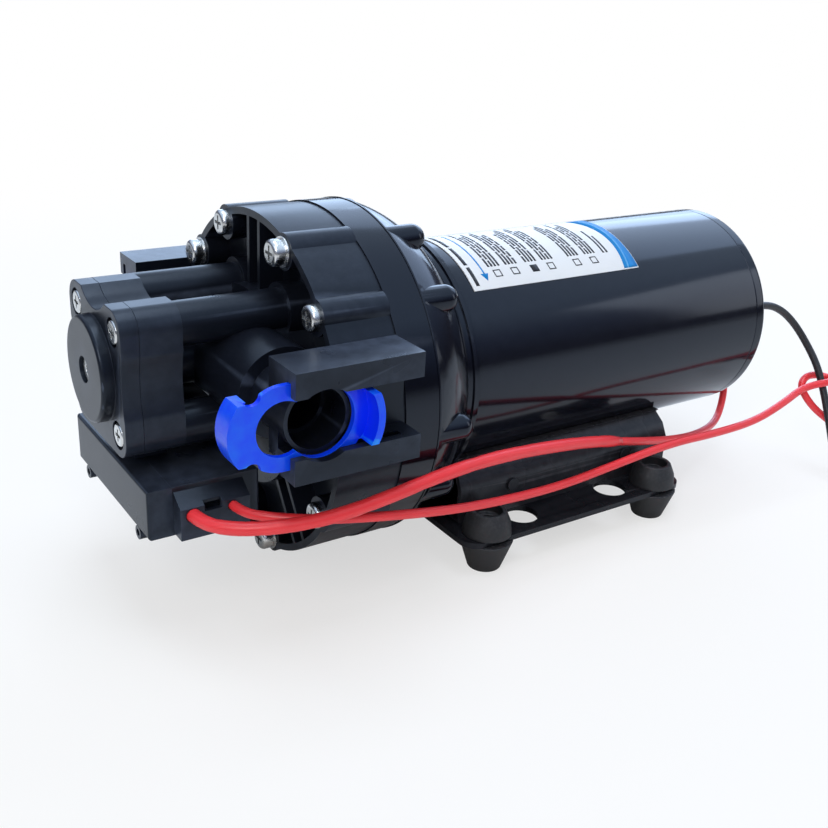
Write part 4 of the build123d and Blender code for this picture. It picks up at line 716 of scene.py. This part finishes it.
def painted_finish(name, dark, light, roughness, flow_depth, wear_and_highlight_colour, wear_and_highlight, specular,
                   tint, orange_peel, dust):
    """Paint over steel: an even colour, a slow waviness in the gloss and worn edges."""
    material, tree, shader = new_finish(name, specular=specular, tint=tint)
    mottled = place_effect(tree, mottle_group, Cloud_Scale=PAINT_CLOUDS,
                           Grain_Scale=PAINT_GRAIN, Grain_Share=orange_peel)
    worn_and_lit = place_effect(tree, edge_group, Strength=wear_and_highlight)
    settled = place_effect(tree, dust_group, Amount=dust)
    colour = blend_colours(tree, mottled.outputs["Mottle"], dark, light)
    colour = blend_colours(tree, worn_and_lit.outputs["Wear"], colour, wear_and_highlight_colour)
    colour = blend_colours(tree, settled.outputs["Dust"], colour, PAINT_DUST_COLOUR)
    finish_surface(tree, shader, colour, mottled.outputs["Mottle"], roughness,
                   mottled.outputs["Height"], flow_depth)
    return material


PAINTED = {
    "black_enamel": dict(
        name="gloss_black_enamel", dark=(0.0026, 0.0030, 0.0065),
        light=(0.0042, 0.0048, 0.0095), roughness=(0.10, 0.16), flow_depth=0.00003,
        wear_and_highlight_colour=(0.08, 0.09, 0.12), wear_and_highlight=0.3, specular=0.38, tint=(0.74, 0.84, 1.0),
        orange_peel=0.004, dust=0.0),
    "black_sheet": dict(
        name="black_sheet_paint", dark=(0.0030, 0.0030, 0.0045),
        light=(0.0055, 0.0055, 0.0080), roughness=(0.22, 0.32), flow_depth=0.00004,
        wear_and_highlight_colour=(0.14, 0.14, 0.16), wear_and_highlight=0.5, specular=0.25, tint=(0.80, 0.88, 1.0),
        orange_peel=0.04, dust=0.01),
}
for slot, values in PAINTED.items():
    finishes[slot] = painted_finish(**values)
print("painted finishes:", sorted(PAINTED))

# %% Metals
STAIN_REACH, STAIN_STRENGTH = 0.50, 0.5


def metal_finish(name, dark, light, roughness, line_scale=900.0, line_depth=0.00002,
                 stain=None):
    """Bare or plated metal: fine lines, soft clouds in the gloss, sometimes a stain."""
    material, tree, shader = new_finish(name, metallic=1.0)
    worked = place_effect(tree, lines_group, Line_Scale=line_scale)
    colour = blend_colours(tree, worked.outputs["Clouds"], dark, light)
    if stain:
        worn_and_lit = place_effect(tree, edge_group, Reach=STAIN_REACH, Strength=STAIN_STRENGTH)
        colour = blend_colours(tree, worn_and_lit.outputs["Wear"], colour, stain)
    finish_surface(tree, shader, colour, worked.outputs["Lines"], roughness,
                   worked.outputs["Lines"], line_depth)
    return material


METALS = {
    "zinc_steel": dict(
        name="bright_zinc_plate", dark=(0.56, 0.56, 0.55), light=(0.74, 0.74, 0.72),
        roughness=(0.16, 0.34), stain=(0.85, 0.85, 0.84)),
    "bright_steel": dict(
        name="ground_steel", dark=(0.50, 0.50, 0.52), light=(0.66, 0.66, 0.68),
        roughness=(0.18, 0.34)),
    "copper": dict(
        name="bare_copper", dark=(0.72, 0.33, 0.18), light=(0.86, 0.46, 0.28),
        roughness=(0.22, 0.38)),
    "bronze": dict(
        name="sintered_bronze", dark=(0.46, 0.30, 0.14), light=(0.60, 0.42, 0.22),
        roughness=(0.40, 0.60), line_scale=2500.0, line_depth=0.00004),
    "brass_plate": dict(
        name="brass_strip", dark=(0.66, 0.50, 0.22), light=(0.78, 0.62, 0.32),
        roughness=(0.20, 0.36)),
    "ferrite": dict(
        name="laminated_iron", dark=(0.10, 0.10, 0.11), light=(0.17, 0.17, 0.18),
        roughness=(0.45, 0.65), line_scale=1600.0),
}
for slot, values in METALS.items():
    finishes[slot] = metal_finish(**values)
print("finishes:", len(finishes))

# %% [markdown]
# ## The film on the motor
# A white film with a blue sweep at its rear end is wrapped over the near shoulder of the
# motor. It carries a printed form: an arrow for the direction of flow, ruled lines and
# six tick boxes, one of them filled. The film is satin and slightly off white. The print
# is drawn as thin skins of ink on the film, since ink is what it is: a picture would
# blur close up, and a painted pattern could not follow the form's own edges.

# %% The film's own finish, and four inks
finishes["label_film"] = moulded_finish(
    "white_film", dark=(0.74, 0.75, 0.77), light=(0.82, 0.83, 0.85), roughness=(0.34, 0.46),
    grain_depth=0.00001, cloud_scale=35.0, dust=0.0, specular=0.3)


def ink_finish(name, dark, light):
    """Printing ink: nearly even, a little uneven in gloss where the film drank it."""
    return moulded_finish(name, dark, light, roughness=(0.42, 0.55), grain_depth=0.00001,
                          cloud_scale=400.0, dust=0.0, specular=0.15)


blue_ink = ink_finish("blue_ink", (0.004, 0.19, 0.54), (0.010, 0.26, 0.66))
pale_blue_ink = ink_finish("pale_blue_ink", (0.10, 0.36, 0.72), (0.14, 0.44, 0.80))
black_ink = ink_finish("black_ink", (0.018, 0.018, 0.022), (0.035, 0.035, 0.040))
grey_ink = ink_finish("grey_ink", (0.026, 0.026, 0.030), (0.045, 0.045, 0.052))
print("inks ready")

# %% Ink drawn on the round of the motor
FILM_RADIUS = 40.3
INK_HEIGHT = 0.04
INK_STEP = 1.5


def on_film(distance, angle):
    """A point just off the film: millimetres along, degrees up from the near side."""
    radius, turn = FILM_RADIUS + INK_HEIGHT, math.radians(angle)
    return on_pump(distance, -radius * math.cos(turn), radius * math.sin(turn))


def ink_patch(mesh, distance_at, angles):
    """A skin of ink between two edges; distance_at gives both edges at an angle."""
    steps = max(1, round(abs(angles[1] - angles[0]) / INK_STEP))
    rows = []
    for i in range(steps + 1):
        angle = angles[0] + (angles[1] - angles[0]) * i / steps
        rows.append([mesh.verts.new(on_film(edge, angle)) for edge in distance_at(angle)])
    for low, high in zip(rows, rows[1:]):
        mesh.faces.new((low[0], low[1], high[1], high[0]))


def straight(near, far):
    """Two edges that keep their distances at every angle."""
    return lambda angle: (near, far)


def finish_ink(name, mesh, ink):
    """A drawn skin as a named piece on the motor, in one ink."""
    piece = finish_piece(name, mesh, "pump_body")
    piece.data.materials.append(ink)
    return piece


print("film radius", FILM_RADIUS)

# %% The blue sweep at the rear end of the film
INK_THICKNESS = 0.03 * MM
FILM_END = 119.5
FILM_ANGLES = (48.6, 98.0)
BAND_NEAR, BAND_FAR, BAND_BOW = 4.8, 0.2, 3.2
BOW_MIDDLE, BOW_HALF = 70.0, 26.0
PALE_HALF = 0.35
PALE_START, PALE_DRIFT, DRIFT_ANGLE = 0.30, 0.35, 50.0


def sweep_edges(angle):
    """The blue band is narrow at its middle and wider at both ends."""
    bow = ((angle - BOW_MIDDLE) / BOW_HALF) ** 2
    return FILM_END - BAND_NEAR - BAND_BOW * bow, FILM_END - BAND_FAR


def pale_edges(angle):
    """A paler line runs through the band."""
    near, far = sweep_edges(angle)
    share = PALE_START + PALE_DRIFT * (angle - FILM_ANGLES[0]) / DRIFT_ANGLE
    middle = near + (far - near) * share
    return middle - PALE_HALF, middle + PALE_HALF


mesh = bmesh.new()
ink_patch(mesh, sweep_edges, FILM_ANGLES)
blue_band = finish_ink("film_blue_band", mesh, blue_ink)
mesh = bmesh.new()
ink_patch(mesh, pale_edges, FILM_ANGLES)
for vertex in mesh.verts:
    outward_way = Vector((0.0, vertex.co.y, vertex.co.z - SHAFT_Z * MM)).normalized()
    vertex.co += outward_way * INK_THICKNESS
pale_line = finish_ink("film_pale_line", mesh, pale_blue_ink)
print("band", blue_band.dimensions[:])

# %% The tick boxes, and the bars at the film's front end
BOX_PLACES = (57.4, 64.9, 73.5, 81.0, 93.0, 101.0)
FILLED_BOX = 2
BOX_SIDE, BOX_LINE = 3.1, 0.42
BOX_ANGLES = (54.0, 58.4)
LINE_ANGLE = BOX_LINE * (180 / math.pi / FILM_RADIUS)
FRONT_BAR = (46.3, 47.7)
FRONT_BAR_ANGLES = ((50.5, 62.0), (63.5, 78.0), (79.5, 95.5))

mesh = bmesh.new()
for k, centre in enumerate(BOX_PLACES):
    near, far = centre - BOX_SIDE / 2, centre + BOX_SIDE / 2
    if k == FILLED_BOX:
        ink_patch(mesh, straight(near, far), BOX_ANGLES)
        continue
    ink_patch(mesh, straight(near, near + BOX_LINE), BOX_ANGLES)
    ink_patch(mesh, straight(far - BOX_LINE, far), BOX_ANGLES)
    ink_patch(mesh, straight(near + BOX_LINE, far - BOX_LINE),
              (BOX_ANGLES[0], BOX_ANGLES[0] + LINE_ANGLE))
    ink_patch(mesh, straight(near + BOX_LINE, far - BOX_LINE),
              (BOX_ANGLES[1] - LINE_ANGLE, BOX_ANGLES[1]))
for angles in FRONT_BAR_ANGLES:
    ink_patch(mesh, straight(*FRONT_BAR), angles)
boxes = finish_ink("film_boxes", mesh, black_ink)

# %% The arrow
ARROW_LINE, ARROW_LINE_ANGLES = (51.6, 52.2), (56.5, 95.0)
ARROW_MIDDLE, ARROW_TIP, ARROW_SLOPE = 51.9, 52.5, 0.36
ARROW_HEAD_ANGLES = (52.6, 56.9)


def arrow_edges(angle):
    """The arrow's head widens evenly from its tip."""
    half = (angle - ARROW_TIP) * ARROW_SLOPE
    return ARROW_MIDDLE - half, ARROW_MIDDLE + half


mesh = bmesh.new()
ink_patch(mesh, straight(*ARROW_LINE), ARROW_LINE_ANGLES)
ink_patch(mesh, arrow_edges, ARROW_HEAD_ANGLES)
arrow = finish_ink("film_arrow", mesh, blue_ink)

# %% The ruled lines, broken like rows of print
RULE_WIDTH = 0.85
RULE_ROWS, ROW_PITCH, FIRST_ROW = 4, 1.45, 2.5
RULES_START, RULES_END, END_STEP = 60.6, 96.5, 1.3
WORD_LENGTH, WORD_STEP, WORD_GAP = 4.2, 1.9, 0.9
SHORTEST_REST = 2.0
REAR_RULE, REAR_PITCH = 107.2, 1.7
REAR_RULE_ANGLES = ((60.0, 80.0), (60.0, 74.0))

mesh = bmesh.new()
for k, centre in enumerate(BOX_PLACES):
    for row in range(RULE_ROWS):
        near = centre - FIRST_ROW + row * ROW_PITCH
        end = RULES_END - ((k * 3 + row * 5) % 7) * END_STEP
        start = RULES_START
        while start < end - SHORTEST_REST:
            longer = ((k * 7 + row * 4 + round(start)) % 5) * WORD_STEP
            reach = min(end, start + WORD_LENGTH + longer)
            ink_patch(mesh, straight(near, near + RULE_WIDTH), (start, reach))
            start = reach + WORD_GAP
for row, angles in enumerate(REAR_RULE_ANGLES):
    near = REAR_RULE + row * REAR_PITCH
    ink_patch(mesh, straight(near, near + RULE_WIDTH), angles)
rules = finish_ink("film_rules", mesh, grey_ink)

# %% A little thickness for the ink
ink_pieces = (blue_band, pale_line, boxes, arrow, rules)
for piece in ink_pieces:
    skin = piece.modifiers.new("ink_thickness", "SOLIDIFY")
    skin.thickness = INK_THICKNESS
    skin.offset = -1.0
print("ink pieces:", len(ink_pieces))

# %% [markdown]
# ## Finishes on the solids
# Each solid takes the finish that its slot in the record names, and each new piece the
# one of its own slot, so a part can be repainted by its slots alone.

# %% Put the finishes on
slot_of_node = {row["node"]: row["material_slot"] for row in frame["record"]["subparts"]}
for name, solid in solids.items():
    solid.data.materials.clear()
    solid.data.materials.append(finishes[slot_of_node[name]])
for piece, slot in (*lead_slots, (sleeve, "red_insulation"), (thin_strands, "copper"),
                    (black_strands, "copper")):
    piece.data.materials.append(finishes[slot])
print("solids finished:", len(slot_of_node))

# %% [markdown]
# ## Rounded edges
# Moulded and pressed parts have small radii along their edges, and those catch the light
# as thin bright lines. A bevel modifier gives them without touching a solid's own mesh.
# The corners are joined first, since each face of an imported solid has its own, and the
# triangles of a flat are made one face, so that the bevel starts from clean outlines. The
# pump head keeps its triangles, because its barrels meet at edges that one face per flat
# would shade wrongly. The shading is weighted to the large faces afterwards, so that
# flats stay flat.

# %% Soften the edges
JOIN_DISTANCE = 0.012 * MM
FLAT_ANGLE, EDGE_ANGLE = 0.3, 32
EDGE_STEPS = 2
LARGE_FACE_WEIGHT, SAME_WEIGHT_RANGE = 100, 0.1
KEEPS_TRIANGLES = "pump_head"


def soften(name, width):
    """Rounds a solid's edges by a width in millimetres."""
    modifiers = solids[name].modifiers
    join = modifiers.new("join_corners", "WELD")
    join.merge_threshold = JOIN_DISTANCE
    if name != KEEPS_TRIANGLES:
        flats = modifiers.new("whole_flats", "DECIMATE")
        flats.decimate_type = "DISSOLVE"
        flats.angle_limit = math.radians(FLAT_ANGLE)
    bevel = modifiers.new("edge_radius", "BEVEL")
    bevel.width = width * MM
    bevel.segments = EDGE_STEPS
    bevel.limit_method = "ANGLE"
    bevel.angle_limit = math.radians(EDGE_ANGLE)
    bevel.use_clamp_overlap = True
    shading = modifiers.new("flat_faces", "WEIGHTED_NORMAL")
    shading.mode = "FACE_AREA_WITH_ANGLE"
    shading.keep_sharp = False
    shading.weight = LARGE_FACE_WEIGHT
    shading.thresh = SAME_WEIGHT_RANGE


EDGE_WIDTHS = {
    "pump_head": 0.22, "drive_housing": 0.45, "switch_body": 0.5, "switch_cover": 0.5,
    "switch_box": 0.45, "switch_box_front": 0.45, "inlet_clip": 0.35, "outlet_clip": 0.35,
    "valve_plate": 0.3, "motor_end_cap": 0.6, "motor_can": 0.25, "base_plate": 0.35,
    "motor_cradle": 0.25, "rubber_feet": 0.4, "plain_screws": 0.16,
    "washered_screws": 0.16, "cover_screws": 0.12, "flat_washers": 0.12,
    "spring_washers": 0.10, "cradle_rivets": 0.15, "lead_grommets": 0.2,
    "adjuster_screw": 0.2,
}
for name, width in EDGE_WIDTHS.items():
    soften(name, width)
print("edges softened on", len(EDGE_WIDTHS), "solids")
